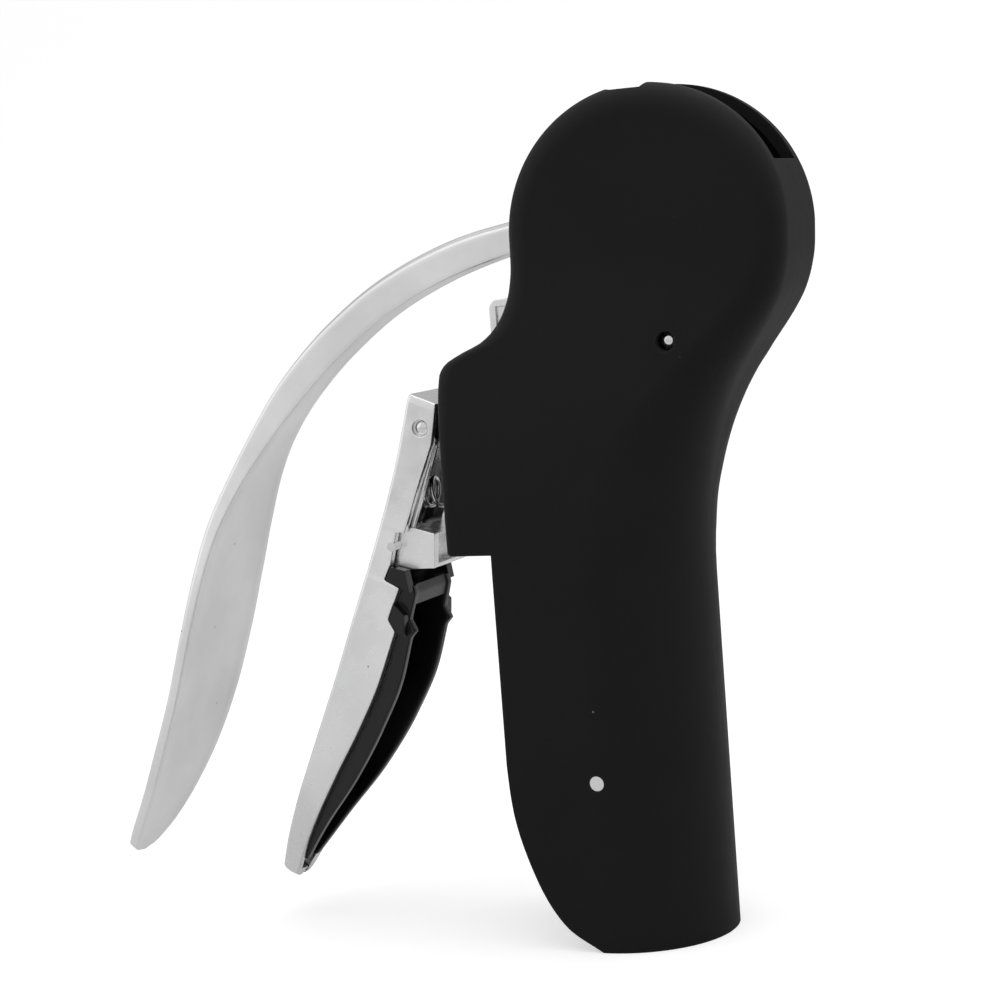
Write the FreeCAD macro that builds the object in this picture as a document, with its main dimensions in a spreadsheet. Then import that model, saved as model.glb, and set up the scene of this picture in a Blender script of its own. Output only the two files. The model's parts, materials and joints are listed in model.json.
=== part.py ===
import FreeCAD, Part
import math
import os
import re

import Sketcher
from FreeCAD import Placement, Rotation, Vector

# Lever corkscrew, millimetres. The worm turns about Z, the origin is on the worm's axis at the
# bottom rim of the body, the lever and the clamp handle are on the -X side, and the whole
# mechanism is symmetric about the plane Y = 0, except for the casing screws.

# ---------------------------------------------------------------- driving dimensions
SIZES = {
    # body
    "wall": 2.3,
    "tube_half": 20.5,
    "tube_front": -18.2,
    "boss_floor": 79.5,
    "head_radius": 28.5,
    "head_half": 14.0,
    "head_edge": 5.5,
    "slot_half": 6.75,
    "front_opening_half": 12.8,
    "front_opening_top": 112.0,
    # lever shaft, and the gear axle that crosses the body
    "pivot_x": 15.0,
    "pivot_z": 140.5,
    "pivot_pin_radius": 1.9,
    "pivot_pin_half": 10.9,
    "spacer_radius": 2.65,
    "clip_radius": 4.0,
    "axle_x": 20.0,
    "axle_z": 119.5,
    "axle_radius": 1.6,
    "axle_hole_radius": 1.85,
    "axle_half": 14.9,
    # gear train
    "gear_module": 1.2,
    "hub_teeth": 23,
    "idler_teeth": 13,
    "rack_pinion_teeth": 15,
    "hub_gear_half": 1.5,
    "cheek_radius": 11.5,
    "cheek_inner": 1.55,
    "cheek_outer": 3.6,
    "fork_radius": 15.6,
    "rivet_radius": 1.25,
    "sleeve_radius": 3.9,
    # frame plates
    "plate_inner": 8.0,
    "plate_thickness": 1.8,
    "plate_head_radius": 22.0,
    "plate_axle_radius": 9.0,
    "plate_bottom": 92.0,
    "plate_tail_top": 93.0,
    "plate_shoulder": 127.0,
    "plate_front": -12.0,
    "plate_back": 17.5,
    "plate_tail_back": 11.8,
    # carriage, racks and worm
    "rack_inner": 4.0,
    "rack_outer": 7.2,
    "rack_back": 5.5,
    "rack_top": 160.4,
    "carriage_bottom": 107.0,
    "carriage_top": 116.0,
    "carriage_half": 7.9,
    "worm_shank_radius": 2.5,
    "worm_wire_radius": 1.45,
    "worm_coil_radius": 2.9,
    "worm_pitch": 8.5,
    "worm_bottom": 62.0,
    "worm_top": 103.0,
    "worm_collar_radius": 4.6,
    "rack_screw_radius": 0.9,
    "rack_screw_head": 1.7,
    "rack_screw_z": 111.5,
    # nut and its holder
    "holder_bottom": 57.0,
    "holder_top": 67.0,
    "nut_radius": 6.5,
    "nut_bore": 4.8,
    # bottle neck guide
    "neck_radius": 15.5,
    "neck_liner_top": 56.0,
    "neck_liner_bottom": 0.0,
    "neck_pin_x": 1.0,
    "neck_pin_z": 34.0,
    "neck_pin_radius": 1.5,
    # clamp
    "clamp_x": -36.4,
    "clamp_z": 104.3,
    "clamp_pin_radius": 1.5,
    "clamp_pin_half": 9.0,
    "clamp_recess_radius": 1.8,
    "bracket_low": 86.0,
    "bracket_high": 110.5,
    "bracket_front": -31.0,
    "bracket_step": -13.0,
    "bracket_back": -8.6,
    "ear_radius": 2.6,
    "ear_half": 6.2,
    "handle_wall": 1.9,
    "handle_web": 1.3,
    "spring_z": 90.4,
    "spring_radius": 3.0,
    "spring_wire": 0.45,
    "spring_turns": 5,
    # fasteners
    "screw_radius": 1.3,
    "screw_head_radius": 2.4,
    "boss_radius": 2.8,
}

doc = FreeCAD.newDocument("LeverCorkscrew")
sheet = doc.addObject("Spreadsheet::Sheet", "Sizes")
for row, (alias, value) in enumerate(SIZES.items(), start=1):
    sheet.set("A%d" % row, alias)
    sheet.set("B%d" % row, str(value))
    sheet.setAlias("B%d" % row, alias)
doc.recompute()

ALIAS = re.compile(r"\b(%s)\b" % "|".join(SIZES))
PARTS = []


def size(alias):
    """Read one driving dimension back from the sheet."""
    return float(sheet.get(alias))


def bind(obj, **properties):
    """Bind properties to expressions over the sheet's aliases; a double underscore is a dot."""
    for name, text in properties.items():
        obj.setExpression(name.replace("__", "."), ALIAS.sub(r"Sizes.\1", str(text)))
    return obj


def node(obj, label):
    """Name an object as a finished sub-part."""
    obj.Label = label
    PARTS.append(obj)
    return obj


# ---------------------------------------------------------------- small modelling helpers
def box(x, y, z, name="Block"):
    """A box between two expressions on each axis."""
    obj = doc.addObject("Part::Box", name)
    for length, corner, (low, high) in (("Length", "x", x), ("Width", "y", y), ("Height", "z", z)):
        bind(obj, **{length: "(%s) - (%s)" % (high, low), "Placement__Base__" + corner: low})
    return obj


AXIS_TURN = {
    "x": Rotation(Vector(0, 1, 0), 90),
    "y": Rotation(Vector(1, 0, 0), -90),
    "z": Rotation(),
}


def rod(axis, radius, low, high, x=0, y=0, z=0, name="Rod"):
    """A cylinder along an axis from low to high, at the other two coordinates."""
    obj = doc.addObject("Part::Cylinder", name)
    obj.Placement = Placement(Vector(), AXIS_TURN[axis])
    place = {"x": x, "y": y, "z": z}
    place[axis] = low
    bind(obj, Radius=radius, Height="(%s) - (%s)" % (high, low))
    bind(obj, **{"Placement__Base__" + key: text for key, text in place.items()})
    return obj


def fuse(*pieces):
    """One solid from several."""
    obj = doc.addObject("Part::MultiFuse", "Join")
    obj.Shapes = list(pieces)
    obj.Refine = True
    return obj


def cut(base, *tools):
    """Base less every tool."""
    for tool in tools:
        obj = doc.addObject("Part::Cut", "Cut")
        obj.Base = base
        obj.Tool = tool
        base = obj
    return base


def common(first, second):
    """What two solids share."""
    obj = doc.addObject("Part::Common", "Common")
    obj.Base = first
    obj.Tool = second
    return obj


def group(*pieces):
    """Separate solids that share one node."""
    obj = doc.addObject("Part::Compound", "Group")
    obj.Links = list(pieces)
    return obj


def solid(shape, name="Solid"):
    """A document object for a shape that no parametric feature makes."""
    obj = doc.addObject("Part::Feature", name)
    obj.Shape = shape
    return obj


def single(shape):
    """The one solid in a shape; a shape left in pieces stops the build."""
    if len(shape.Solids) != 1:
        raise ValueError("expected one solid, got %d" % len(shape.Solids))
    return shape.Solids[0]


def ring(axis, outer, inner, low, high, **at):
    """A tube along an axis."""
    return cut(rod(axis, outer, low, high, **at), rod(axis, inner, low, high, **at))


def domed_pin(radius, half, rise, x, z):
    """A pin along Y, centred on Y = 0, with low domes on its ends."""
    middle = rod("y", radius, "%s - (%s)" % (rise, half), "%s - %s" % (half, rise), x=x, z=z)
    domes = []
    for side in (-1, 1):
        dome = doc.addObject("Part::Ellipsoid", "Dome")
        dome.Placement = Placement(Vector(), AXIS_TURN["y"])
        bind(dome, Radius1=rise, Radius2=radius, Radius3=radius, Placement__Base__x=x, Placement__Base__z=z,
             Placement__Base__y="%d * (%s - %s)" % (side, half, rise))
        domes.append(dome)
    return fuse(middle, *domes)


def mirrored(piece):
    """The same piece on the other side of the plane Y = 0."""
    obj = doc.addObject("Part::Mirroring", "Mirror")
    obj.Source = piece
    obj.Normal = Vector(0, 1, 0)
    return obj


def padded_body(label, edges, holes, width, middle="0"):
    """A flat piece parallel to XZ: a sketch of edges and bound round holes, padded both ways."""
    body = doc.addObject("PartDesign::Body", "Body")
    sketch = body.newObject("Sketcher::SketchObject", "Outline")
    plane = next(f for f in body.Origin.OriginFeatures if f.Role == "XZ_Plane")
    sketch.AttachmentSupport = [(plane, "")]
    sketch.MapMode = "FlatFace"
    for edge in edges:
        sketch.addGeometry(edge, False)
    for x, z, radius in holes:
        circle = Part.Circle(Vector(size(x), size(z), 0), Vector(0, 0, 1), size(radius))
        index = sketch.addGeometry(circle, False)
        for kind, alias in (("Radius", radius), ("DistanceX", x), ("DistanceY", z)):
            where = (index,) if kind == "Radius" else (index, 3)
            number = sketch.addConstraint(Sketcher.Constraint(kind, *where, size(alias)))
            sketch.setExpression("Constraints[%d]" % number, "Sizes." + alias)
    pad = body.newObject("PartDesign::Pad", "Pad")
    pad.Profile = sketch
    pad.Midplane = True
    bind(pad, Length=width)
    bind(body, Placement__Base__y=middle)
    return node(body, label)


def loop(points):
    """Straight sketch edges round a list of (x, z) points."""
    corners = [Vector(x, z, 0) for x, z in points]
    return [Part.LineSegment(a, b) for a, b in zip(corners, corners[1:] + corners[:1])]


def prism(edges, half):
    """A solid from closed XZ edges, from -half to half in Y."""
    face = Part.Face(Part.Wire(edges))
    face.translate(Vector(0, -half, 0))
    return face.extrude(Vector(0, 2 * half, 0))


def polygon(points):
    """Closed straight XZ edges."""
    corners = [Vector(x, 0, z) for x, z in points]
    return [Part.makeLine(a, b) for a, b in zip(corners, corners[1:] + corners[:1])]


def smooth(points):
    """One smooth XZ edge through the points."""
    curve = Part.BSplineCurve()
    curve.interpolate([Vector(x, 0, z) for x, z in points])
    return curve.toShape()


def polar(radius, degrees, x=None, z=None):
    """A point at a radius and an angle about the lever pivot, or another centre."""
    angle = math.radians(degrees)
    x = size("pivot_x") if x is None else x
    z = size("pivot_z") if z is None else z
    return x + radius * math.cos(angle), z + radius * math.sin(angle)


# ---------------------------------------------------------------- casing
# height, front edge, back edge, half width, back corner radius, front corner radius
CASING_STATIONS = [
    (79.5, -27.6, 20.8, 20.5, 20.2, 1.2),
    (87.0, -27.8, 21.6, 20.4, 19.6, 1.6),
    (94.5, -28.0, 23.3, 20.0, 18.4, 2.0),
    (101.0, -28.4, 25.3, 19.5, 16.8, 2.5),
    (107.5, -28.8, 28.1, 18.6, 14.5, 3.0),
    (112.5, -29.0, 31.0, 17.6, 12.5, 3.5),
    (115.0, -28.9, 32.8, 17.1, 11.5, 3.8),
    (117.0, -27.9, 34.2, 16.7, 10.8, 4.0),
    (119.0, -24.6, 35.7, 16.4, 10.2, 4.2),
    (121.0, -20.2, 37.2, 16.0, 9.5, 4.5),
    (123.5, -17.4, 38.9, 15.6, 8.6, 5.0),
    (127.0, -15.3, 40.9, 15.0, 7.5, 5.2),
    (131.0, -14.1, 42.3, 14.5, 6.4, 5.4),
    (135.5, -13.6, 43.2, 14.1, 5.7, 5.5),
    (140.5, -13.5, 43.5, 14.0, 5.5, 5.5),
]
MIN_CORNER = 0.6


def rounded_section(height, front, back, half, back_corner, front_corner, inset=0.0):
    """A level section of the body: a rectangle with large back and small front corners."""
    front, back, half = front + inset, back - inset, half - inset
    corners = []
    for x, y, radius, sx, sy in (
        (back, half, back_corner, 1, 1),
        (front, half, front_corner, -1, 1),
        (front, -half, front_corner, -1, -1),
        (back, -half, back_corner, 1, -1),
    ):
        radius = max(radius - inset, MIN_CORNER)
        centre = Vector(x - sx * radius, y - sy * radius, height)
        ends = [centre + Vector(sx * radius, 0, 0), centre + Vector(0, sy * radius, 0)]
        middle = centre + Vector(sx * radius, sy * radius, 0) * math.sqrt(0.5)
        if sx * sy < 0:
            ends.reverse()
        corners.append((ends[0], middle, ends[1]))
    edges = []
    for index, (start, middle, end) in enumerate(corners):
        edges.append(Part.Arc(start, middle, end).toShape())
        edges.append(Part.makeLine(end, corners[(index + 1) % 4][0]))
    return Part.Wire(edges)


def casing_envelope(inset):
    """The body's outer shape, or its hollow when inset by the wall."""
    tube_section = (-1.0 if inset else 0.0, size("tube_front"), size("tube_half"), size("tube_half"),
                    size("tube_half") - 0.2, 0.8)
    tube = Part.Face(rounded_section(*tube_section, inset=inset))
    tube = tube.extrude(Vector(0, 0, size("boss_floor") - tube_section[0]))
    upper = Part.makeLoft([rounded_section(*row, inset=inset) for row in CASING_STATIONS], True, True)
    half = size("head_half") - inset
    centre = Vector(size("pivot_x"), -half, size("pivot_z"))
    head = Part.makeCylinder(size("head_radius") - inset, 2 * half, centre, Vector(0, 1, 0))
    rims = [edge for edge in head.Edges if isinstance(edge.Curve, Part.Circle)]
    head = head.makeFillet(size("head_edge") - inset, rims)
    return tube.fuse([upper, head])


SCREW_PLACES = [(35.0, 124.5), (-21.0, 115.5), (15.5, 84.0)]
TOP_NOTCH = [(8.6, 168.0), (16.6, 168.0), (17.8, 169.4), (17.8, 171.0), (8.6, 171.0)]
SCREW_SEAT = 7.0
SCREW_TIP = -5.0
SCREW_HEAD_HEIGHT = 1.8
FAR = 60.0
PIN_FIT = 0.03


def y_rod(radius, x, z, low, high):
    """A plain cylinder shape along Y."""
    return Part.makeCylinder(radius, high - low, Vector(x, low, z), Vector(0, 1, 0))


def casing_shell():
    """Both halves in one: walls, screw bosses, lever slot, front opening and pin holes."""
    outer = casing_envelope(0.0)
    shell = outer.cut(casing_envelope(size("wall")))
    bosses = [y_rod(size("boss_radius"), x, z, -FAR, FAR) for x, z in SCREW_PLACES]
    shell = shell.fuse([boss.common(outer) for boss in bosses])
    front = [(size("tube_front"), 40.0), (-17.2, 28.5), (-13.0, 14.0), (-7.3, 4.8), (0.0, 0.0)]
    below = polygon([(0.0, 0.0), (0.0, -9.0), (-40.0, -9.0), (-40.0, 40.0), front[0]])[:-1]
    sweep_cut = prism([smooth(front)] + below, FAR)
    mouth = Part.makeBox(30.0, 2 * (size("tube_half") - size("wall")), size("boss_floor") + 1.0,
                         Vector(-40.0, size("wall") - size("tube_half"), -1.0))
    arc_points = [polar(50.0, angle) for angle in (25.0, 65.0, 105.0, 145.0)]
    slot = prism(polygon([polar(0.0, 0.0)] + arc_points + [(-40.0, 150.0), (-40.0, 121.5), (-9.0, 121.5)]),
                 size("slot_half"))
    opening_half = size("front_opening_half")
    opening = Part.makeBox(24.0, 2 * opening_half, size("front_opening_top") - 70.0,
                           Vector(-34.0, -opening_half, 70.0))
    notch = prism(polygon(TOP_NOTCH), FAR)
    holes = [y_rod(size("axle_hole_radius"), size("axle_x"), size("axle_z"), -FAR, FAR),
             y_rod(size("neck_pin_radius"), size("neck_pin_x"), size("neck_pin_z"), -FAR, FAR)]
    for x, z in SCREW_PLACES:
        holes.append(y_rod(size("screw_radius"), x, z, SCREW_TIP, SCREW_SEAT))
        holes.append(y_rod(size("screw_head_radius"), x, z, SCREW_SEAT, FAR))
    return shell.cut([sweep_cut, mouth, slot, opening, notch] + holes)


def make_casing():
    """Split the shell at Y = 0 into its two moulded halves."""
    shell = casing_shell()
    for label, low in (("left_casing", -FAR), ("right_casing", 0.0)):
        half = shell.common(Part.makeBox(4 * FAR, FAR, 4 * FAR, Vector(-2 * FAR, low, -FAR)))
        node(solid(single(half.removeSplitter()), "Casing"), label)


def make_casing_screws():
    """Three screws, put in from the right side."""
    screws = []
    for x, z in SCREW_PLACES:
        top = SCREW_SEAT + SCREW_HEAD_HEIGHT
        head = rod("y", "screw_head_radius - 0.1", SCREW_SEAT, top, x=x, z=z)
        socket = rod("y", "screw_radius", top - 1.0, top, x=x, z=z)
        shank = rod("y", "screw_radius", SCREW_TIP, SCREW_SEAT, x=x, z=z)
        screws.append(cut(fuse(head, shank), socket))
    node(group(*screws), "casing_screws")


# ---------------------------------------------------------------- gears
PRESSURE_ANGLE = math.radians(25.0)
BACKLASH = 0.16
FLANK_STEPS = 5


def involute(angle):
    """The involute function."""
    return math.tan(angle) - angle


def gear_points(teeth, chosen, first_tooth):
    """Points round a gear: chosen tooth numbers have teeth, the first at an angle in radians."""
    module = size("gear_module")
    pitch_radius = module * teeth / 2
    base = pitch_radius * math.cos(PRESSURE_ANGLE)
    tip = pitch_radius + module
    root = pitch_radius - 1.25 * module
    half_tooth = math.pi / (2 * teeth) - BACKLASH / (4 * pitch_radius) + involute(PRESSURE_ANGLE)
    start = max(base, root)
    radii = [start + (tip - start) * step / FLANK_STEPS for step in range(FLANK_STEPS + 1)]
    flank = [(root, half_tooth)] if root < base else []
    flank += [(radius, half_tooth - involute(math.acos(base / radius))) for radius in radii]
    points = []
    for tooth in range(teeth):
        middle = first_tooth + 2 * math.pi * tooth / teeth
        if tooth in chosen:
            points += [(radius, middle - turn) for radius, turn in flank]
            points += [(radius, middle + turn) for radius, turn in reversed(flank)]
        else:
            points += [(root, middle - math.pi / teeth), (root, middle)]
    return [(radius * math.cos(turn), radius * math.sin(turn)) for radius, turn in points]


def placed(points, x, z):
    """Points moved to a centre given by two aliases."""
    return [(px + size(x), pz + size(z)) for px, pz in points]


def mesh_angle():
    """Direction from the lever pivot to the gear axle."""
    return math.atan2(size("axle_z") - size("pivot_z"), size("axle_x") - size("pivot_x"))


# ---------------------------------------------------------------- lever
# inner face from the root to the tip: x, z, width in Y, thickness
LEVER_STATIONS = [
    (9.0, 142.0, 7.0, 6.0),
    (2.0, 141.2, 7.0, 6.4),
    (-12.0, 138.9, 7.0, 6.4),
    (-27.0, 135.1, 7.2, 7.2),
    (-42.8, 128.5, 7.3, 7.5),
    (-55.5, 120.0, 7.6, 7.6),
    (-66.0, 110.6, 9.0, 7.2),
    (-73.6, 102.0, 13.0, 5.6),
    (-79.0, 94.2, 18.5, 4.4),
    (-84.4, 83.7, 25.0, 3.8),
    (-88.4, 73.2, 28.0, 3.4),
    (-92.4, 61.4, 29.0, 3.2),
    (-96.8, 48.7, 28.0, 3.2),
    (-101.8, 37.0, 26.0, 3.2),
    (-107.3, 26.3, 21.5, 3.1),
    (-112.8, 17.6, 15.5, 3.0),
    (-117.0, 12.2, 8.0, 2.8),
]
CROWN = 0.10
DISH = 0.055


def lever_sections():
    """Wires across the arm: an outer crown, two flat sides and a dished inner face."""
    places = [Vector(x, 0, z) for x, z, _, _ in LEVER_STATIONS]
    wires = []
    for index, (_, _, width, thick) in enumerate(LEVER_STATIONS):
        ahead = places[min(index + 1, len(places) - 1)]
        behind = places[max(index - 1, 0)]
        along = (ahead - behind).normalize()
        outward = Vector(0, 1, 0).cross(along)
        side = Vector(0, width / 2, 0)
        crown = CROWN * thick + 0.02 * width
        dish = 0.02 + DISH * max(width - 8.0, 0.0)
        inner = places[index]
        outer = inner + outward * (thick - crown)
        top = Part.Arc(outer - side, outer + outward * crown, outer + side).toShape()
        bottom = Part.Arc(inner + side, inner + outward * dish, inner - side).toShape()
        wires.append(Part.Wire([top, Part.makeLine(outer + side, inner + side), bottom,
                                Part.makeLine(inner - side, outer - side)]))
    return wires


LEVER_TRAVEL = 140.0
RIVET_ORBIT = 8.2
RIVET_ANGLES = (56.0, 176.0, 296.0)


def make_lever():
    """The cast pull lever: a curved arm with a broad paddle and a forked hub."""
    arm = Part.makeLoft(lever_sections(), True, False)
    pivot_x, pivot_z = size("pivot_x"), size("pivot_z")
    hub = y_rod(size("cheek_radius"), pivot_x, pivot_z, -size("cheek_outer"), size("cheek_outer"))
    fork = y_rod(size("fork_radius"), pivot_x, pivot_z, -size("cheek_inner"), size("cheek_inner"))
    tools = [fork, y_rod(size("pivot_pin_radius") + PIN_FIT, pivot_x, pivot_z, -FAR, FAR)]
    for angle in RIVET_ANGLES:
        tools.append(y_rod(size("rivet_radius"), *polar(RIVET_ORBIT, angle), -FAR, FAR))
    lever = arm.fuse(hub).cut(tools)
    node(solid(single(lever.removeSplitter()), "Lever"), "pull_lever")


def make_hub_gear():
    """The toothed plate riveted into the lever's fork; its teeth cover the lever's travel."""
    first = mesh_angle()
    step = 2 * math.pi / size("hub_teeth")
    chosen = [tooth for tooth in range(int(size("hub_teeth")))
              if -1.5 * step <= _wrap(tooth * step) <= math.radians(LEVER_TRAVEL) + 2.0 * step]
    outline = placed(gear_points(int(size("hub_teeth")), chosen, first), "pivot_x", "pivot_z")
    face = prism(polygon(outline), size("hub_gear_half"))
    holes = [y_rod(size("pivot_pin_radius") + PIN_FIT, size("pivot_x"), size("pivot_z"), -FAR, FAR)]
    holes += [y_rod(size("rivet_radius"), *polar(RIVET_ORBIT, angle), -FAR, FAR) for angle in RIVET_ANGLES]
    node(solid(face.cut(holes), "HubGear"), "hub_gear")


def _wrap(angle):
    """An angle between minus half a turn and half a turn."""
    return (angle + math.pi) % (2 * math.pi) - math.pi


def make_lever_fasteners():
    """Rivets through the fork, and the pivot pin with its spacer sleeves and clips."""
    rivets = []
    for angle in RIVET_ANGLES:
        x, z = polar(RIVET_ORBIT, angle)
        rivets.append(rod("y", "rivet_radius", "-cheek_outer", "cheek_outer", x=x, z=z))
    node(group(*rivets), "lever_rivets")
    at = {"x": "pivot_x", "z": "pivot_z"}
    node(rod("y", "pivot_pin_radius", "-pivot_pin_half", "pivot_pin_half", **at), "pivot_pin")
    sleeve = ring("y", "spacer_radius", "pivot_pin_radius + 0.05",
                  "cheek_outer + 0.05", "plate_inner - 0.05", **at)
    node(group(sleeve, mirrored(sleeve)), "pivot_spacers")
    clip = ring("y", "clip_radius", "pivot_pin_radius", "plate_inner + plate_thickness + 0.05",
                "plate_inner + plate_thickness + 0.75", **at)
    node(group(clip, mirrored(clip)), "pivot_clips")


# ---------------------------------------------------------------- gear cluster
def make_gear_cluster():
    """The intermediate gear, the two rack pinions and their sleeve, on the cross axle."""
    hole = [("axle_x", "axle_z", "sleeve_radius")]
    teeth = int(size("idler_teeth"))
    facing = mesh_angle() + math.pi + math.pi / teeth
    idler = placed(gear_points(teeth, range(teeth), facing), "axle_x", "axle_z")
    padded_body("idler_gear", loop(idler), hole, "3.6")
    teeth = int(size("rack_pinion_teeth"))
    pinion = placed(gear_points(teeth, range(teeth), math.pi), "axle_x", "axle_z")
    for label, side in (("left_rack_pinion", "-"), ("right_rack_pinion", "")):
        padded_body(label, loop(pinion), hole, "rack_outer - rack_inner - 0.1",
                    side + "(rack_outer + rack_inner) / 2")
    at = {"x": "axle_x", "z": "axle_z"}
    node(ring("y", "sleeve_radius", "axle_radius + 0.05", "-plate_inner + 0.15", "plate_inner - 0.15", **at),
         "gear_sleeve")
    node(domed_pin("axle_radius", "axle_half", 0.8, **at), "gear_axle")


# ---------------------------------------------------------------- frame plates
def make_frame():
    """Two steel side plates, the spacers between them and the pins that cross them."""
    def plate():
        low, high = "plate_inner", "plate_inner + plate_thickness"
        body = fuse(rod("y", "plate_head_radius", low, high, x="pivot_x", z="pivot_z"),
                    rod("y", "plate_axle_radius", low, high, x="axle_x", z="axle_z"),
                    box(("plate_front", "plate_back"), (low, high), ("plate_bottom", "plate_shoulder")),
                    box(("plate_front", "plate_tail_back"), (low, high), ("holder_bottom", "plate_tail_top")))
        holes = [rod("y", "pivot_pin_radius", low, high, x="pivot_x", z="pivot_z"),
                 rod("y", "axle_radius", low, high, x="axle_x", z="axle_z")]
        holes += [rod("y", radius, low, high, x=x, z=z) for x, z, radius in PLATE_PINS]
        return cut(body, *holes)
    node(plate(), "right_frame_plate")
    node(mirrored(plate()), "left_frame_plate")
    low, high = "-plate_inner - plate_thickness", "plate_inner + plate_thickness"
    spacers = []
    for x, z, radius in PLATE_PINS[:2]:
        waist = rod("y", radius + 0.7, "-plate_inner", "plate_inner", x=x, z=z)
        spacers.append(fuse(rod("y", radius, low, high, x=x, z=z), waist))
    node(group(*spacers), "frame_spacers")
    for label, places in (("stop_pin", PLATE_PINS[2:3]), ("bracket_pins", PLATE_PINS[3:5]),
                          ("holder_pins", PLATE_PINS[5:])):
        pins = [rod("y", radius, low, high, x=x, z=z) for x, z, radius in places]
        node(group(*pins) if len(pins) > 1 else pins[0], label)


# x, z and radius of what crosses the plates: two spacers, then the stop, bracket and holder pins
PLATE_PINS = [(31.5, 131.5, 1.3), (15.0, 98.5, 1.3), (-6.0, 124.5, 1.5), (-10.2, 90.0, 1.3),
              (-10.2, 106.0, 1.3), (-9.6, 63.2, 1.3), (9.6, 63.2, 1.3)]


STOP_FRONT, STOP_BACK = -20.6, -3.4
STOP_LOW, STOP_HIGH = 121.9, 129.2
STOP_FOOT = (-16.0, 119.8)
STOP_CORNER = 2.0
STOP_HALF = 5.9
PANEL_DEPTH = 0.6


def make_lever_stop():
    """The bright cast block in the lower end of the lever slot, with a framed panel each side."""
    foot_x, foot_z = STOP_FOOT
    turn_x, turn_z = STOP_FRONT + STOP_CORNER, STOP_HIGH - STOP_CORNER
    slant = STOP_CORNER * math.sqrt(0.5)
    corner = Part.Arc(Vector(STOP_FRONT, 0, turn_z), Vector(turn_x - slant, 0, turn_z + slant),
                      Vector(turn_x, 0, STOP_HIGH)).toShape()
    outline = [(turn_x, STOP_HIGH), (STOP_BACK, STOP_HIGH), (STOP_BACK, foot_z), (foot_x, foot_z),
               (foot_x, STOP_LOW), (STOP_FRONT, STOP_LOW), (STOP_FRONT, turn_z)]
    block = prism([corner] + polygon(outline)[:-1], STOP_HALF)
    panels = [Part.makeBox(12.0, PANEL_DEPTH, 5.4, Vector(-19.2, y, 122.4))
              for y in (-STOP_HALF, STOP_HALF - PANEL_DEPTH)]
    pin_x, pin_z, pin_radius = PLATE_PINS[2]
    block = block.cut(panels + [y_rod(pin_radius, pin_x, pin_z, -FAR, FAR)])
    node(solid(block, "LeverStop"), "lever_stop")


# ---------------------------------------------------------------- carriage and worm
def rack_points():
    """The rack's outline: teeth towards +X, a gap facing the pinion at the axle's height."""
    module = size("gear_module")
    pitch_line = size("axle_x") - module * size("rack_pinion_teeth") / 2
    tooth = math.pi * module
    lean = math.tan(PRESSURE_ANGLE)
    half = tooth / 4 - BACKLASH / 4
    tip, root = pitch_line + module, pitch_line - 1.25 * module
    tip_half, root_half = half - module * lean, half + 1.25 * module * lean
    bottom, top = size("carriage_bottom"), size("rack_top")
    first = math.ceil((bottom + root_half - size("axle_z")) / tooth - 0.5)
    points = [(size("rack_back"), bottom), (root, bottom)]
    number = first
    while size("axle_z") + (number + 0.5) * tooth + root_half < top:
        middle = size("axle_z") + (number + 0.5) * tooth
        points += [(root, middle - root_half), (tip, middle - tip_half), (tip, middle + tip_half),
                   (root, middle + root_half)]
        number += 1
    return points + [(root, top), (size("rack_back"), top)]


THREAD_DEPTH = 2.6


def make_carriage():
    """The sliding block, its two racks and their screws."""
    bore = rod("z", "worm_shank_radius + 0.05", "carriage_bottom", "carriage_top")
    block = box((-7.0, "rack_back"), ("-carriage_half", "carriage_half"), ("carriage_bottom", "carriage_top"))
    middle = "(rack_inner + rack_outer) / 2"
    holes = [rod("x", "rack_screw_radius", -7.0, "rack_back", y=side + middle, z="rack_screw_z")
             for side in ("-", "")]
    node(cut(block, bore, *holes), "carriage_block")
    outline = rack_points()
    for label, side in (("left_rack", -1), ("right_rack", 1)):
        width = size("rack_outer") - size("rack_inner")
        rack = prism(polygon(outline), width / 2)
        centre = side * (size("rack_outer") + size("rack_inner")) / 2
        rack.translate(Vector(0, centre, 0))
        thread = Part.makeCylinder(size("rack_screw_radius"), THREAD_DEPTH,
                                   Vector(size("rack_back"), centre, size("rack_screw_z")), Vector(1, 0, 0))
        node(solid(rack.cut(thread), "Rack"), label)
    screws = []
    for side in ("-", ""):
        head = rod("x", "rack_screw_head", -8.2, -7.0, y=side + middle, z="rack_screw_z")
        shank = rod("x", "rack_screw_radius", -7.0, "rack_back + %s" % THREAD_DEPTH, y=side + middle,
                    z="rack_screw_z")
        screws.append(fuse(head, shank))
    node(group(*screws), "rack_screws")


def make_worm():
    """The open steel helix on its shank, and the cap that holds it in the carriage."""
    wire, coil = size("worm_wire_radius"), size("worm_coil_radius")
    bottom, top = size("worm_bottom"), size("worm_top")
    helix = Part.makeHelix(size("worm_pitch"), top - bottom, coil)
    profile = Part.Wire(Part.makeCircle(wire, Vector(coil, 0, 0), Vector(0, 1, 0)))
    thread = Part.Wire(helix).makePipeShell([profile], True, True)
    thread.translate(Vector(0, 0, bottom))
    shank = Part.makeCylinder(size("worm_shank_radius"), size("carriage_top") + 2.2 - top, Vector(0, 0, top))
    collar_low = top - 1.5
    collar = Part.makeCylinder(size("worm_collar_radius"), size("carriage_bottom") - 0.05 - collar_low,
                               Vector(0, 0, collar_low))
    node(solid(thread.fuse([shank, collar]), "Worm"), "worm")
    cap = ring("z", "worm_collar_radius", "worm_shank_radius", "carriage_top + 0.05", "carriage_top + 2.2")
    node(cap, "worm_cap")


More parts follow.
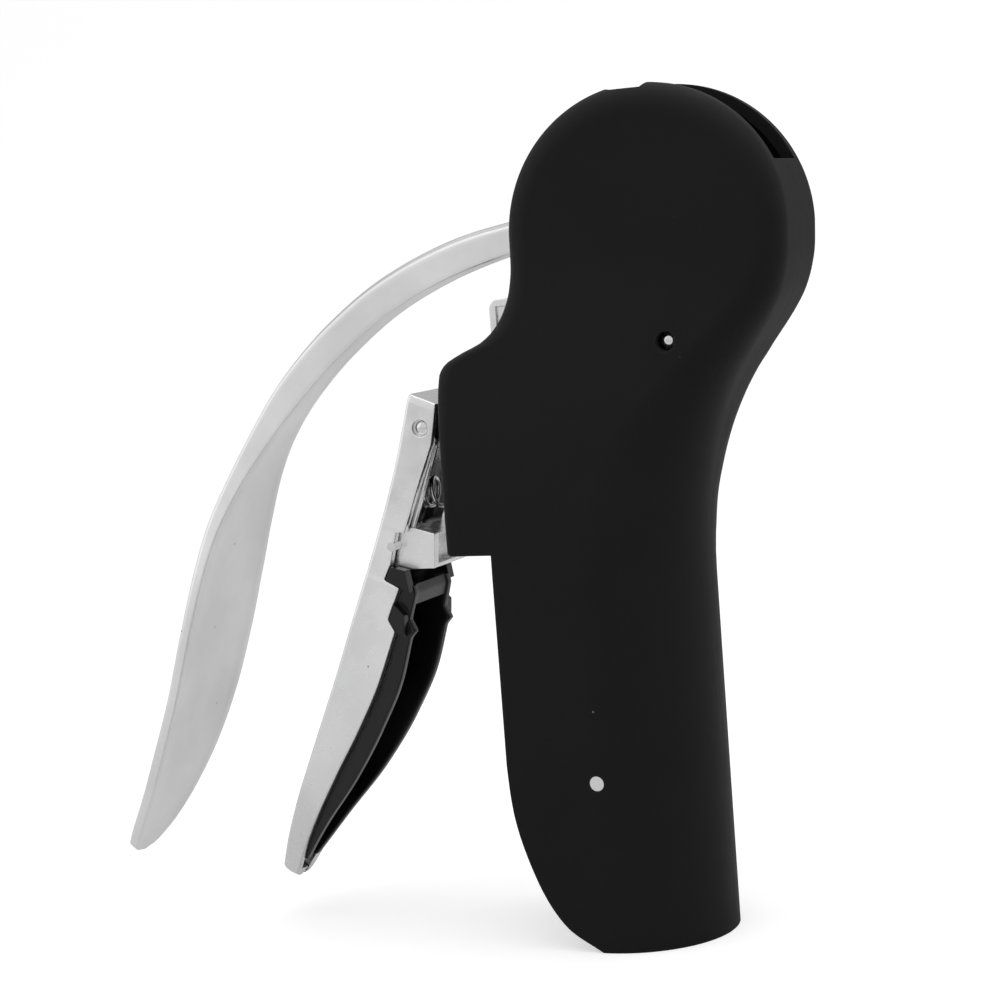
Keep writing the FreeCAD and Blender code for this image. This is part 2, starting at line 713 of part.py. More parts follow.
# ---------------------------------------------------------------- nut, holder and neck liner
def make_guides():
    """The brass nut, its holder above the bottle's lip, and the liner behind the neck."""
    nut = fuse(rod("z", "nut_radius", "holder_bottom + 2", "holder_top"),
               rod("z", "nut_radius + 1", "holder_bottom", "holder_bottom + 2"))
    node(cut(nut, rod("z", "nut_bore", "holder_bottom", "holder_top")), "guide_nut")
    block = box(("plate_front", "plate_tail_back"), ("-plate_inner + 0.02", "plate_inner - 0.02"),
                ("holder_bottom", "holder_top"))
    tools = [rod("z", "nut_radius", "holder_bottom", "holder_top"),
             rod("z", "nut_radius + 1", "holder_bottom", "holder_bottom + 2")]
    tools += [rod("y", radius, "-plate_inner", "plate_inner", x=x, z=z) for x, z, radius in PLATE_PINS[5:]]
    node(cut(block, *tools), "nut_holder")
    outer = "tube_half - wall - 0.1"
    trough = common(ring("z", outer, "neck_radius", "neck_liner_bottom", "neck_liner_top"),
                    box((-2.5, 30.0), (-30.0, 30.0), ("neck_liner_bottom", "neck_liner_top")))
    pin_hole = rod("y", "neck_pin_radius", -30.0, 30.0, x="neck_pin_x", z="neck_pin_z")
    node(cut(trough, pin_hole), "neck_liner")
    pin = rod("y", "neck_pin_radius", "neck_radius + 0.9", "tube_half - 0.3", x="neck_pin_x", z="neck_pin_z")
    node(group(pin, mirrored(pin)), "liner_pins")


# ---------------------------------------------------------------- clamp
HANDLE_BACK = [(-38.6, 111.4), (-40.3, 105.4), (-43.2, 95.7), (-46.6, 85.9), (-50.2, 76.0), (-54.2, 66.0),
               (-58.4, 55.9), (-63.0, 45.7), (-68.0, 35.4), (-73.2, 25.0), (-78.2, 14.4), (-79.6, 11.2),
               (-78.6, 8.6)]
HANDLE_FRONT = [(-76.6, 8.9), (-71.6, 17.4), (-62.0, 32.0), (-54.4, 43.4), (-48.9, 53.3), (-44.7, 62.9),
                (-46.1, 65.4), (-43.2, 71.9), (-46.5, 73.6), (-44.9, 76.7), (-43.3, 83.2), (-41.6, 82.9),
                (-37.3, 93.8), (-34.2, 100.8), (-33.5, 104.0), (-32.3, 110.0)]
# height and half width of the handle, seen from the front
HANDLE_WIDTHS = [(8.0, 3.2), (11.5, 4.6), (18.0, 7.0), (32.0, 10.0), (46.0, 11.3), (62.0, 11.6), (76.0, 10.8),
                 (90.0, 9.6), (102.0, 9.3), (114.0, 9.3)]
LEAST_HALF_WIDTH = 0.8
# x, z and radius of the carrier's rivet, and the depth in Y where the pivot holes widen
CARRIER_PIN = (-44.4, 80.4, 1.0)
RECESS_FLOOR = 8.2
HANDLE_LEAN = 24.0


def half_width(height):
    """The handle's half width at a height."""
    for (low, first), (high, second) in zip(HANDLE_WIDTHS, HANDLE_WIDTHS[1:]):
        if height <= high:
            return first + (second - first) * (height - low) / (high - low)
    return HANDLE_WIDTHS[-1][1]


def front_view(inset, low, high):
    """A solid along X whose front outline follows the handle's half widths, less an inset."""
    heights = [low] + [z for z, _ in HANDLE_WIDTHS if low < z < high] + [high]
    rows = [(max(half_width(z) - inset, LEAST_HALF_WIDTH), z) for z in heights]
    outline = rows + [(-half, z) for half, z in reversed(rows)]
    corners = [Vector(-100.0, y, z) for y, z in outline]
    wire = Part.makePolygon(corners + corners[:1])
    return Part.Face(wire).extrude(Vector(90.0, 0, 0))


def shifted(points, distance):
    """An open line of points moved towards +X, across the handle."""
    lean = math.radians(HANDLE_LEAN)
    return [(x + distance * math.cos(lean), z - distance * math.sin(lean)) for x, z in points]


def make_clamp_handle():
    """The cast clamp handle: a channel open towards the body, closed over the pivot."""
    outer = prism(polygon(HANDLE_BACK + HANDLE_FRONT), FAR).common(front_view(0.0, 8.0, 114.0))
    floor = shifted(HANDLE_BACK[1:-2], size("handle_web"))
    toe = [(-75.4, 11.0), (-60.0, 9.0), (-20.0, 9.0), (-20.0, 107.7)]
    channel = prism(polygon([(-36.9, 109.2)] + floor + toe), FAR)
    channel = channel.common(front_view(size("handle_wall"), 9.0, 112.0))
    pivot = size("clamp_x"), size("clamp_z")
    carrier_x, carrier_z, carrier_radius = CARRIER_PIN
    tools = [channel, y_rod(size("clamp_pin_radius") + PIN_FIT, *pivot, -FAR, FAR),
             y_rod(size("clamp_recess_radius"), *pivot, RECESS_FLOOR, FAR),
             y_rod(size("clamp_recess_radius"), *pivot, -FAR, -RECESS_FLOOR),
             y_rod(carrier_radius, carrier_x, carrier_z, -FAR, FAR)]
    handle = outer.cut(tools)
    node(solid(single(handle), "Handle"), "clamp_handle")


LINER_GAP = 0.02
LINER_SIDE = 2.0
LINER_FLOOR = 2.6
LINER_FRONT = [(-74.8, 11.4), (-67.9, 20.0), (-58.4, 31.0), (-51.0, 41.7), (-45.4, 52.0), (-42.4, 61.0),
               (-41.0, 62.5), (-42.2, 65.0), (-40.6, 70.2), (-41.2, 73.2)]


def make_clamp_liner():
    """The rubber trough that grips the bottle neck, set in the handle's channel."""
    web = size("handle_web")
    inset = size("handle_wall") + LINER_GAP
    floor = shifted(HANDLE_BACK[5:-2], web + LINER_GAP)
    side_view = polygon(floor[::-1] + [(-47.3, 75.0)] + LINER_FRONT[::-1])
    trough = prism(side_view, FAR).common(front_view(inset, 9.0, 76.0))
    hollow_floor = shifted(HANDLE_BACK[5:-2], web + LINER_FLOOR)
    hollow_side = polygon(hollow_floor[::-1] + [(-44.0, 69.5), (-30.0, 69.5), (-30.0, 6.0)])
    hollow = prism(hollow_side, FAR).common(front_view(inset + LINER_SIDE, 11.0, 69.0))
    node(solid(single(trough.cut(hollow)), "Liner"), "clamp_liner")


CARRIER_OUTLINE = [(-46.6, 75.2), (-36.4, 75.4), (-35.7, 82.5), (-40.6, 83.9), (-45.2, 83.0)]
CARRIER_HALF = 7.9
CARRIER_PIN_HALF = 10.6
ARM_OUTLINE = [(-43.6, 82.6), (-40.6, 83.7), (-38.5, 88.9), (-34.2, 100.6), (-34.6, 101.5), (-35.6, 101.6),
               (-36.6, 100.6), (-41.0, 88.6)]
ARM_INNER, ARM_OUTER = 6.35, 7.35
SPRING_START, SPRING_END = -43.2, -31.05


def make_clamp_bracket():
    """The bracket held between the frame plates, and the pin it carries."""
    heights = ("bracket_low", "bracket_high")
    front = box(("bracket_front", "bracket_back"), ("-ear_half", "ear_half"), heights)
    tail = box(("bracket_step", "bracket_back"), ("-plate_inner + 0.02", "plate_inner - 0.02"), heights)
    neck = box(("clamp_x", "bracket_front + 1"), ("-ear_half", "ear_half"),
               ("clamp_z - ear_radius", "clamp_z + ear_radius"))
    ear = rod("y", "ear_radius", "-ear_half", "ear_half", x="clamp_x", z="clamp_z")
    holes = [rod("y", radius, "-clamp_pin_half", "clamp_pin_half", x=x, z=z)
             for x, z, radius in PLATE_PINS[3:5]]
    holes.append(rod("y", "clamp_pin_radius", "-clamp_pin_half", "clamp_pin_half", x="clamp_x", z="clamp_z"))
    node(cut(fuse(front, tail, neck, ear), *holes), "clamp_bracket")
    node(domed_pin("clamp_pin_radius", "clamp_pin_half", 0.6, x="clamp_x", z="clamp_z"), "clamp_pin")


def make_clamp_fittings():
    """The liner's carrier with its two arms and its rivet, and the spring that opens the clamp."""
    carrier_x, carrier_z, carrier_radius = CARRIER_PIN
    between = Part.makeBox(FAR, 2 * ARM_INNER, FAR, Vector(-FAR, -ARM_INNER, CARRIER_OUTLINE[3][1]))
    arms = prism(polygon(ARM_OUTLINE), ARM_OUTER).cut(between)
    carrier = prism(polygon(CARRIER_OUTLINE), CARRIER_HALF).fuse(arms)
    recess = Part.makeBox(6.0, 11.6, 6.0, Vector(-39.0, -5.8, 76.2))
    pin_hole = y_rod(carrier_radius, carrier_x, carrier_z, -FAR, FAR)
    node(solid(single(carrier.cut([recess, pin_hole])), "Carrier"), "liner_carrier")
    node(rod("y", carrier_radius, -CARRIER_PIN_HALF, CARRIER_PIN_HALF, x=carrier_x, z=carrier_z), "carrier_pin")
    wire, coil = size("spring_wire"), size("spring_radius")
    length = SPRING_END - SPRING_START - 2 * wire
    helix = Part.makeHelix(length / size("spring_turns"), length, coil)
    profile = Part.Wire(Part.makeCircle(wire, Vector(coil, 0, 0), Vector(0, 1, 0)))
    spring = Part.Wire(helix).makePipeShell([profile], True, True)
    spring.rotate(Vector(), Vector(0, 1, 0), 90)
    spring.translate(Vector(SPRING_START + wire, 0, size("spring_z")))
    node(solid(spring, "Spring"), "clamp_spring")


# ---------------------------------------------------------------- build, check and export
def check_and_export():
    """Stop on any failed feature or bad shape, then write one STEP file a node."""
    doc.recompute()
    for obj in doc.Objects:
        if {"Invalid", "Error"} & set(obj.State):
            raise RuntimeError("%s (%s) failed to compute" % (obj.Name, obj.Label))
    os.makedirs("parts", exist_ok=True)
    for obj in PARTS:
        shape = obj.Shape
        if shape.isNull() or not shape.isValid():
            raise RuntimeError("%s has no valid shape" % obj.Label)
        shape.exportStep("parts/%s.step" % obj.Label)
        print("%-20s %2d solids %10.1f mm3" % (obj.Label, len(shape.Solids), shape.Volume))


def main():
    """Make every sub-part in order."""
    make_casing()
    make_casing_screws()
    make_lever()
    make_hub_gear()
    make_lever_fasteners()
    make_gear_cluster()
    make_frame()
    make_lever_stop()
    make_carriage()
    make_worm()
    make_guides()
    make_clamp_handle()
    make_clamp_liner()
    make_clamp_bracket()
    make_clamp_fittings()
    check_and_export()


main()
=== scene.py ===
"""Looks for a lever corkscrew: finer surfaces, finishes, light and camera over the fixed CAD frame."""

import json
import logging
import math
from dataclasses import dataclass
from enum import Enum
from typing import Dict, List, Sequence, Tuple

import bmesh
import bpy
import numpy as np
from mathutils import Matrix, Vector


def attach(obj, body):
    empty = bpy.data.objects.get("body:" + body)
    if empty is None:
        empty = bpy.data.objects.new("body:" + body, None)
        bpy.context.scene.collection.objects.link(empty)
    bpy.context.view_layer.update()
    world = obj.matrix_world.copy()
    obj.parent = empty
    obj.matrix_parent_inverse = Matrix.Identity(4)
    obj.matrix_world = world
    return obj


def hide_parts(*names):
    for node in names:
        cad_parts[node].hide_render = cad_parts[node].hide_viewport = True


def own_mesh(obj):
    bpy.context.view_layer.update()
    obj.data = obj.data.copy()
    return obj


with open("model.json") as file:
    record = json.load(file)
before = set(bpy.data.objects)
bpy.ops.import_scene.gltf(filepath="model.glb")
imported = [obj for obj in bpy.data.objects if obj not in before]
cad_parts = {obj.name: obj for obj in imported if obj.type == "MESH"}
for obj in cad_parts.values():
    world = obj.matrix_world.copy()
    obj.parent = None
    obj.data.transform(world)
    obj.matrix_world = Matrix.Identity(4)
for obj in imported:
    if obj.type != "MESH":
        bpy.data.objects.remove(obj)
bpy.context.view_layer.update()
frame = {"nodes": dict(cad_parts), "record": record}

LOG = logging.getLogger("corkscrew")
MM = 0.001
Point = Tuple[float, float]
Table = Sequence[Sequence[float]]


# ---------------------------------------------------------------- curves and meshes
def smooth_rows(table: Table, count: int) -> np.ndarray:
    """Evenly spaced rows along a smooth curve through a table's rows.

    Args:
        table: rows whose first two columns are the place along the curve.
        count: how many rows to return.

    Returns:
        An array with the table's columns, on a cubic that never overshoots its rows.
    """
    rows = np.array(table, float)
    steps = np.hypot(*np.diff(rows[:, :2], axis=0).T)
    knots = np.concatenate([[0.0], np.cumsum(steps)])
    return smooth_table(knots, rows, np.linspace(0.0, knots[-1], count))


def smooth_table(knots: np.ndarray, rows: np.ndarray, places: np.ndarray) -> np.ndarray:
    """Values between knots by a cubic with monotone slopes, so that nothing overshoots.

    Args:
        knots: rising places of the rows.
        rows: one row of values a knot.
        places: where to read the values.

    Returns:
        One row of values a place.
    """
    span = np.diff(knots)[:, None]
    secant = np.diff(rows, axis=0) / span
    slope = np.zeros_like(rows)
    left, right = secant[:-1], secant[1:]
    same = left * right > 0
    with np.errstate(divide="ignore", invalid="ignore"):
        mean = 3 * (span[:-1] + span[1:]) / (
            (2 * span[1:] + span[:-1]) / left + (span[1:] + 2 * span[:-1]) / right)
    slope[1:-1] = np.where(same, mean, 0.0)
    slope[0], slope[-1] = secant[0], secant[-1]
    index = np.clip(np.searchsorted(knots, places, side="right") - 1, 0, len(knots) - 2)
    width = span[index]
    t = ((places - knots[index])[:, None]) / width
    return (rows[index] * (1 + 2 * t) * (1 - t) ** 2 + slope[index] * width * t * (1 - t) ** 2
            + rows[index + 1] * t * t * (3 - 2 * t) + slope[index + 1] * width * t * t * (t - 1))


def arc(centre: Point, radius: float, start: float, end: float, count: int) -> List[Point]:
    """Points round an arc, angles in degrees, both ends included."""
    turns = np.radians(np.linspace(start, end, count))
    return [(centre[0] + radius * math.cos(a), centre[1] + radius * math.sin(a)) for a in turns]


def line(start: Point, end: Point, count: int) -> List[Point]:
    """Points strictly between two ends."""
    shares = [k / (count + 1) for k in range(1, count + 1)]
    return [(start[0] + (end[0] - start[0]) * t, start[1] + (end[1] - start[1]) * t) for t in shares]


class MeshKit:
    """Makes plain mesh objects from points in millimetres, and cuts and joins them."""

    @staticmethod
    def make(name: str, points: np.ndarray, faces: List[Tuple[int, ...]]) -> bpy.types.Object:
        """A mesh object from points in millimetres.

        Args:
            name: the object's name.
            points: one row a point.
            faces: point indices of each face.

        Returns:
            The new object, linked to the scene.
        """
        mesh = bpy.data.meshes.new(name)
        mesh.from_pydata((np.asarray(points, float) * MM).tolist(), [], faces)
        mesh.update()
        obj = bpy.data.objects.new(name, mesh)
        bpy.context.scene.collection.objects.link(obj)
        return obj

    @staticmethod
    def loft(name: str, rings: np.ndarray) -> bpy.types.Object:
        """A closed solid through rings of points.

        Args:
            name: the object's name.
            rings: array of rings, each a closed loop with the same number of points.

        Returns:
            The solid, capped at both ends, with its normals outward.
        """
        count, size, _ = rings.shape
        base = (np.arange(count - 1)[:, None] * size + np.arange(size)[None, :])
        ahead = (np.arange(count - 1)[:, None] * size + (np.arange(size)[None, :] + 1) % size)
        quads = np.stack([base, ahead, ahead + size, base + size], -1).reshape(-1, 4)
        faces = [tuple(q) for q in quads.tolist()]
        faces.append(tuple(reversed(range(size))))
        faces.append(tuple(range((count - 1) * size, count * size)))
        obj = MeshKit.make(name, rings.reshape(-1, 3), faces)
        MeshKit.face_outward(obj)
        return obj

    @staticmethod
    def face_outward(obj: bpy.types.Object) -> None:
        """Turn a closed mesh's normals outward, by the sign of its volume.

        Args:
            obj: the closed mesh.
        """
        mesh = obj.data
        mesh.calc_loop_triangles()
        co = np.array([v.co for v in mesh.vertices])
        tri = np.array([t.vertices for t in mesh.loop_triangles])
        volume = np.einsum("ij,ij->i", co[tri[:, 0]], np.cross(co[tri[:, 1]], co[tri[:, 2]])).sum()
        if volume < 0:
            mesh.flip_normals()

    @staticmethod
    def weld(obj: bpy.types.Object) -> bpy.types.Object:
        """Merge points that lie on each other, and drop faces left without area.

        Args:
            obj: the closed mesh to clean.

        Returns:
            The same object.
        """
        work = bmesh.new()
        work.from_mesh(obj.data)
        bmesh.ops.remove_doubles(work, verts=work.verts, dist=1e-7)
        bmesh.ops.dissolve_degenerate(work, edges=work.edges, dist=1e-7)
        work.to_mesh(obj.data)
        work.free()
        MeshKit.face_outward(obj)
        return obj

    @staticmethod
    def lathe(name: str, outline: Sequence[Point], x: float, z: float, steps: int = 48) -> bpy.types.Object:
        """A solid of revolution about a line along Y.

        Args:
            name: the object's name.
            outline: (radius, y) points; it starts and ends on the axis.
            x: the axis's place along X.
            z: the axis's place along Z.
            steps: points round the axis.

        Returns:
            The closed solid.
        """
        turns = np.linspace(0, 2 * math.pi, steps, endpoint=False)
        inner = outline[1:-1]
        rings = np.array([[(x + r * math.cos(a), y, z + r * math.sin(a)) for a in turns] for r, y in inner])
        points = list(rings.reshape(-1, 3)) + [(x, outline[0][1], z), (x, outline[-1][1], z)]
        faces: List[Tuple[int, ...]] = []
        for row in range(len(inner) - 1):
            for k in range(steps):
                n = (k + 1) % steps
                faces.append((row * steps + k, row * steps + n, (row + 1) * steps + n, (row + 1) * steps + k))
        first, last, end = len(points) - 2, len(points) - 1, (len(inner) - 1) * steps
        for k in range(steps):
            n = (k + 1) % steps
            faces.append((first, n, k))
            faces.append((last, end + k, end + n))
        obj = MeshKit.make(name, np.array(points), faces)
        MeshKit.face_outward(obj)
        return obj

    @staticmethod
    def rod(radius: float, x: float, z: float, low: float, high: float) -> bpy.types.Object:
        """A plain cutting cylinder along Y."""
        return MeshKit.lathe("tool", [(0, low), (radius, low), (radius, high), (0, high)], x, z)

    @staticmethod
    def prism(outline: Sequence[Point], low: float, high: float, name: str = "tool") -> bpy.types.Object:
        """A solid from an XZ outline, between two values of Y."""
        rings = np.array([[(x, y, z) for x, z in outline] for y in (low, high)])
        return MeshKit.loft(name, rings)

    @staticmethod
    def combine(base: bpy.types.Object, tool: bpy.types.Object, operation: str) -> bpy.types.Object:
        """Apply one boolean and remove the tool.

        Args:
            base: the object that is changed.
            tool: the object used up.
            operation: UNION or DIFFERENCE.

        Returns:
            The changed object.
        """
        modifier = base.modifiers.new("combine", "BOOLEAN")
        modifier.operation = operation
        modifier.solver = "MANIFOLD"
        modifier.object = tool
        MeshKit.apply(base)
        bpy.data.objects.remove(tool)
        return base

    @staticmethod
    def apply(obj: bpy.types.Object) -> bpy.types.Object:
        """Make an object's modifiers part of its mesh.

        Args:
            obj: the object with modifiers.

        Returns:
            The same object, with none left.
        """
        bpy.context.view_layer.update()
        graph = bpy.context.evaluated_depsgraph_get()
        mesh = bpy.data.meshes.new_from_object(obj.evaluated_get(graph))
        obj.modifiers.clear()
        obj.data = mesh
        return obj

    @staticmethod
    def join(pieces: Sequence[bpy.types.Object], name: str) -> bpy.types.Object:
        """Several meshes in one object.

        Args:
            pieces: the objects joined; they are used up.
            name: the new object's name.

        Returns:
            The joined object.
        """
        points: List[Tuple[float, float, float]] = []
        faces: List[Tuple[int, ...]] = []
        for piece in pieces:
            start = len(points)
            points += [tuple(v.co / MM) for v in piece.data.vertices]
            faces += [tuple(start + v for v in p.vertices) for p in piece.data.polygons]
            bpy.data.objects.remove(piece)
        return MeshKit.make(name, np.array(points), faces)

    @staticmethod
    def shade(obj: bpy.types.Object, degrees: float = 32.0) -> None:
        """Smooth shading, kept sharp where faces meet at more than an angle.

        Args:
            obj: the object shaded.
            degrees: the angle.
        """
        mesh = obj.data
        mesh.polygons.foreach_set("use_smooth", [True] * len(mesh.polygons))
        mesh.set_sharp_from_angle(angle=math.radians(degrees))

    @staticmethod
    def mirror(obj: bpy.types.Object, name: str) -> bpy.types.Object:
        """A copy on the other side of the plane Y = 0.

        Args:
            obj: the object copied.
            name: the copy's name.

        Returns:
            The mirrored copy, with its normals outward.
        """
        twin = MeshKit.make(name, np.zeros((0, 3)), [])
        twin.data = obj.data.copy()
        twin.data.transform(Matrix.Diagonal((1, -1, 1, 1)))
        twin.data.flip_normals()
        return twin


# ---------------------------------------------------------------- finishes
class Surface(Enum):
    """The kinds of surface the finishes are built from."""

    SOFT_TOUCH = "soft touch coating"
    CAST = "bead-blasted and lightly brushed casting"
    POLISHED = "polished metal"
    MACHINED = "machined metal with tool marks"
    RUBBER = "moulded rubber"
    PLASTIC = "moulded plastic"


class Graph:
    """A small builder for one node-based material in object coordinates."""

    def __init__(self, name: str) -> None:
        """Start a material with one principled shader."""
        self.material = bpy.data.materials.new(name)
        self.material.use_nodes = True
        self.tree = self.material.node_tree
        self.shader = self.tree.nodes["Principled BSDF"]
        self.place = self.tree.nodes.new("ShaderNodeTexCoord").outputs["Object"]

    def put(self, socket: bpy.types.NodeSocket, value: object) -> None:
        """Link or set one socket.

        Args:
            socket: the input to feed.
            value: a socket to link, or a constant.
        """
        if isinstance(value, bpy.types.NodeSocket):
            self.tree.links.new(value, socket)
        else:
            socket.default_value = value

    def stretched(self, scale: Tuple[float, float, float]) -> bpy.types.NodeSocket:
        """Object coordinates scaled along each axis.

        Args:
            scale: one factor an axis.

        Returns:
            The scaled coordinates.
        """
        node = self.tree.nodes.new("ShaderNodeMapping")
        self.put(node.inputs["Vector"], self.place)
        node.inputs["Scale"].default_value = scale
        return node.outputs["Vector"]

    def noise(self, scale: float, detail: float = 4.0,
              stretch: Tuple[float, float, float] = (1.0, 1.0, 1.0)) -> bpy.types.NodeSocket:
        """Noise from 0 to 1.

        Args:
            scale: cycles a metre.
            detail: octaves of finer noise.
            stretch: one factor an axis; small ones draw the noise out.

        Returns:
            The noise's value.
        """
        node = self.tree.nodes.new("ShaderNodeTexNoise")
        self.put(node.inputs["Vector"], self.stretched(stretch))
        node.inputs["Scale"].default_value = scale
        node.inputs["Detail"].default_value = detail
        return node.outputs["Fac"]

    def specks(self, scale: float, size: float, share: float) -> bpy.types.NodeSocket:
        """Rare round specks: 1 on a speck and 0 elsewhere.

        Args:
            scale: cells a metre.
            size: speck radius as a share of a cell.
            share: share of the cells that have a speck.

        Returns:
            The mask of specks.
        """
        cells = self.tree.nodes.new("ShaderNodeTexVoronoi")
        self.put(cells.inputs["Vector"], self.place)
        cells.inputs["Scale"].default_value = scale
        near = self.math("LESS_THAN", cells.outputs["Distance"], size)
        parts = self.tree.nodes.new("ShaderNodeSeparateColor")
        self.put(parts.inputs["Color"], cells.outputs["Color"])
        chosen = self.math("LESS_THAN", parts.outputs["Red"], share)
        return self.math("MULTIPLY", near, chosen)

    def math(self, operation: str, first: object, second: object) -> bpy.types.NodeSocket:
        """One math node.

        Args:
            operation: the node's operation.
            first: a socket or a number.
            second: a socket or a number.

        Returns:
            The result.
        """
        node = self.tree.nodes.new("ShaderNodeMath")
        node.operation = operation
        self.put(node.inputs[0], first)
        self.put(node.inputs[1], second)
        return node.outputs[0]

    def spread(self, value: bpy.types.NodeSocket, low: float, high: float, start: float = 0.3,
               end: float = 0.7) -> bpy.types.NodeSocket:
        """Map a value from start..end to low..high.

        Args:
            value: the value mapped.
            low: result at start.
            high: result at end.
            start: where the range starts.
            end: where the range ends.

        Returns:
            The mapped value, held between low and high.
        """
        node = self.tree.nodes.new("ShaderNodeMapRange")
        self.put(node.inputs["Value"], value)
        for key, number in (("From Min", start), ("From Max", end), ("To Min", low), ("To Max", high)):
            node.inputs[key].default_value = number
        return node.outputs["Result"]

    def mix(self, factor: object, first: object, second: object) -> bpy.types.NodeSocket:
        """A colour between two others.

        Args:
            factor: 0 for the first colour and 1 for the second.
            first: a constant colour or a socket.
            second: a constant colour or a socket.

        Returns:
            The mixed colour.
        """
        node = self.tree.nodes.new("ShaderNodeMix")
        node.data_type = "RGBA"
        self.put(node.inputs[0], factor)
        self.put(node.inputs[6], first)
        self.put(node.inputs[7], second)
        return node.outputs[2]

    def edge_highlight_mask(self, radius: float) -> bpy.types.NodeSocket:
        """Mask for painted edge highlights: how far a rounded normal leaves the true one, so 1 along edges
        and in creases.

        Args:
            radius: how far from an edge, in metres, the value reaches.

        Returns:
            A value from 0 on flat faces to 1 at edges.
        """
        soft = self.tree.nodes.new("ShaderNodeBevel")
        soft.samples = 4
        soft.inputs["Radius"].default_value = radius
        flat = self.tree.nodes.new("ShaderNodeNewGeometry")
        dot = self.tree.nodes.new("ShaderNodeVectorMath")
        dot.operation = "DOT_PRODUCT"
        self.put(dot.inputs[0], soft.outputs["Normal"])
        self.put(dot.inputs[1], flat.outputs["Normal"])
        return self.spread(dot.outputs["Value"], 1.0, 0.0, 0.86, 0.99)

    def relief(self, layers: Sequence[Tuple[bpy.types.NodeSocket, float]], edge: float) -> None:
        """Bump from height layers, over rounded edges.

        Args:
            layers: height sockets, each with its depth in metres.
            edge: radius in metres that sharp edges look rounded to.
        """
        soft = self.tree.nodes.new("ShaderNodeBevel")
        soft.samples = 4
        soft.inputs["Radius"].default_value = edge
        normal = soft.outputs["Normal"]
        for height, depth in layers:
            node = self.tree.nodes.new("ShaderNodeBump")
            node.inputs["Distance"].default_value = depth
            node.inputs["Strength"].default_value = 1.0
            self.put(node.inputs["Height"], height)
            self.put(node.inputs["Normal"], normal)
            normal = node.outputs["Normal"]
        self.put(self.shader.inputs["Normal"], normal)


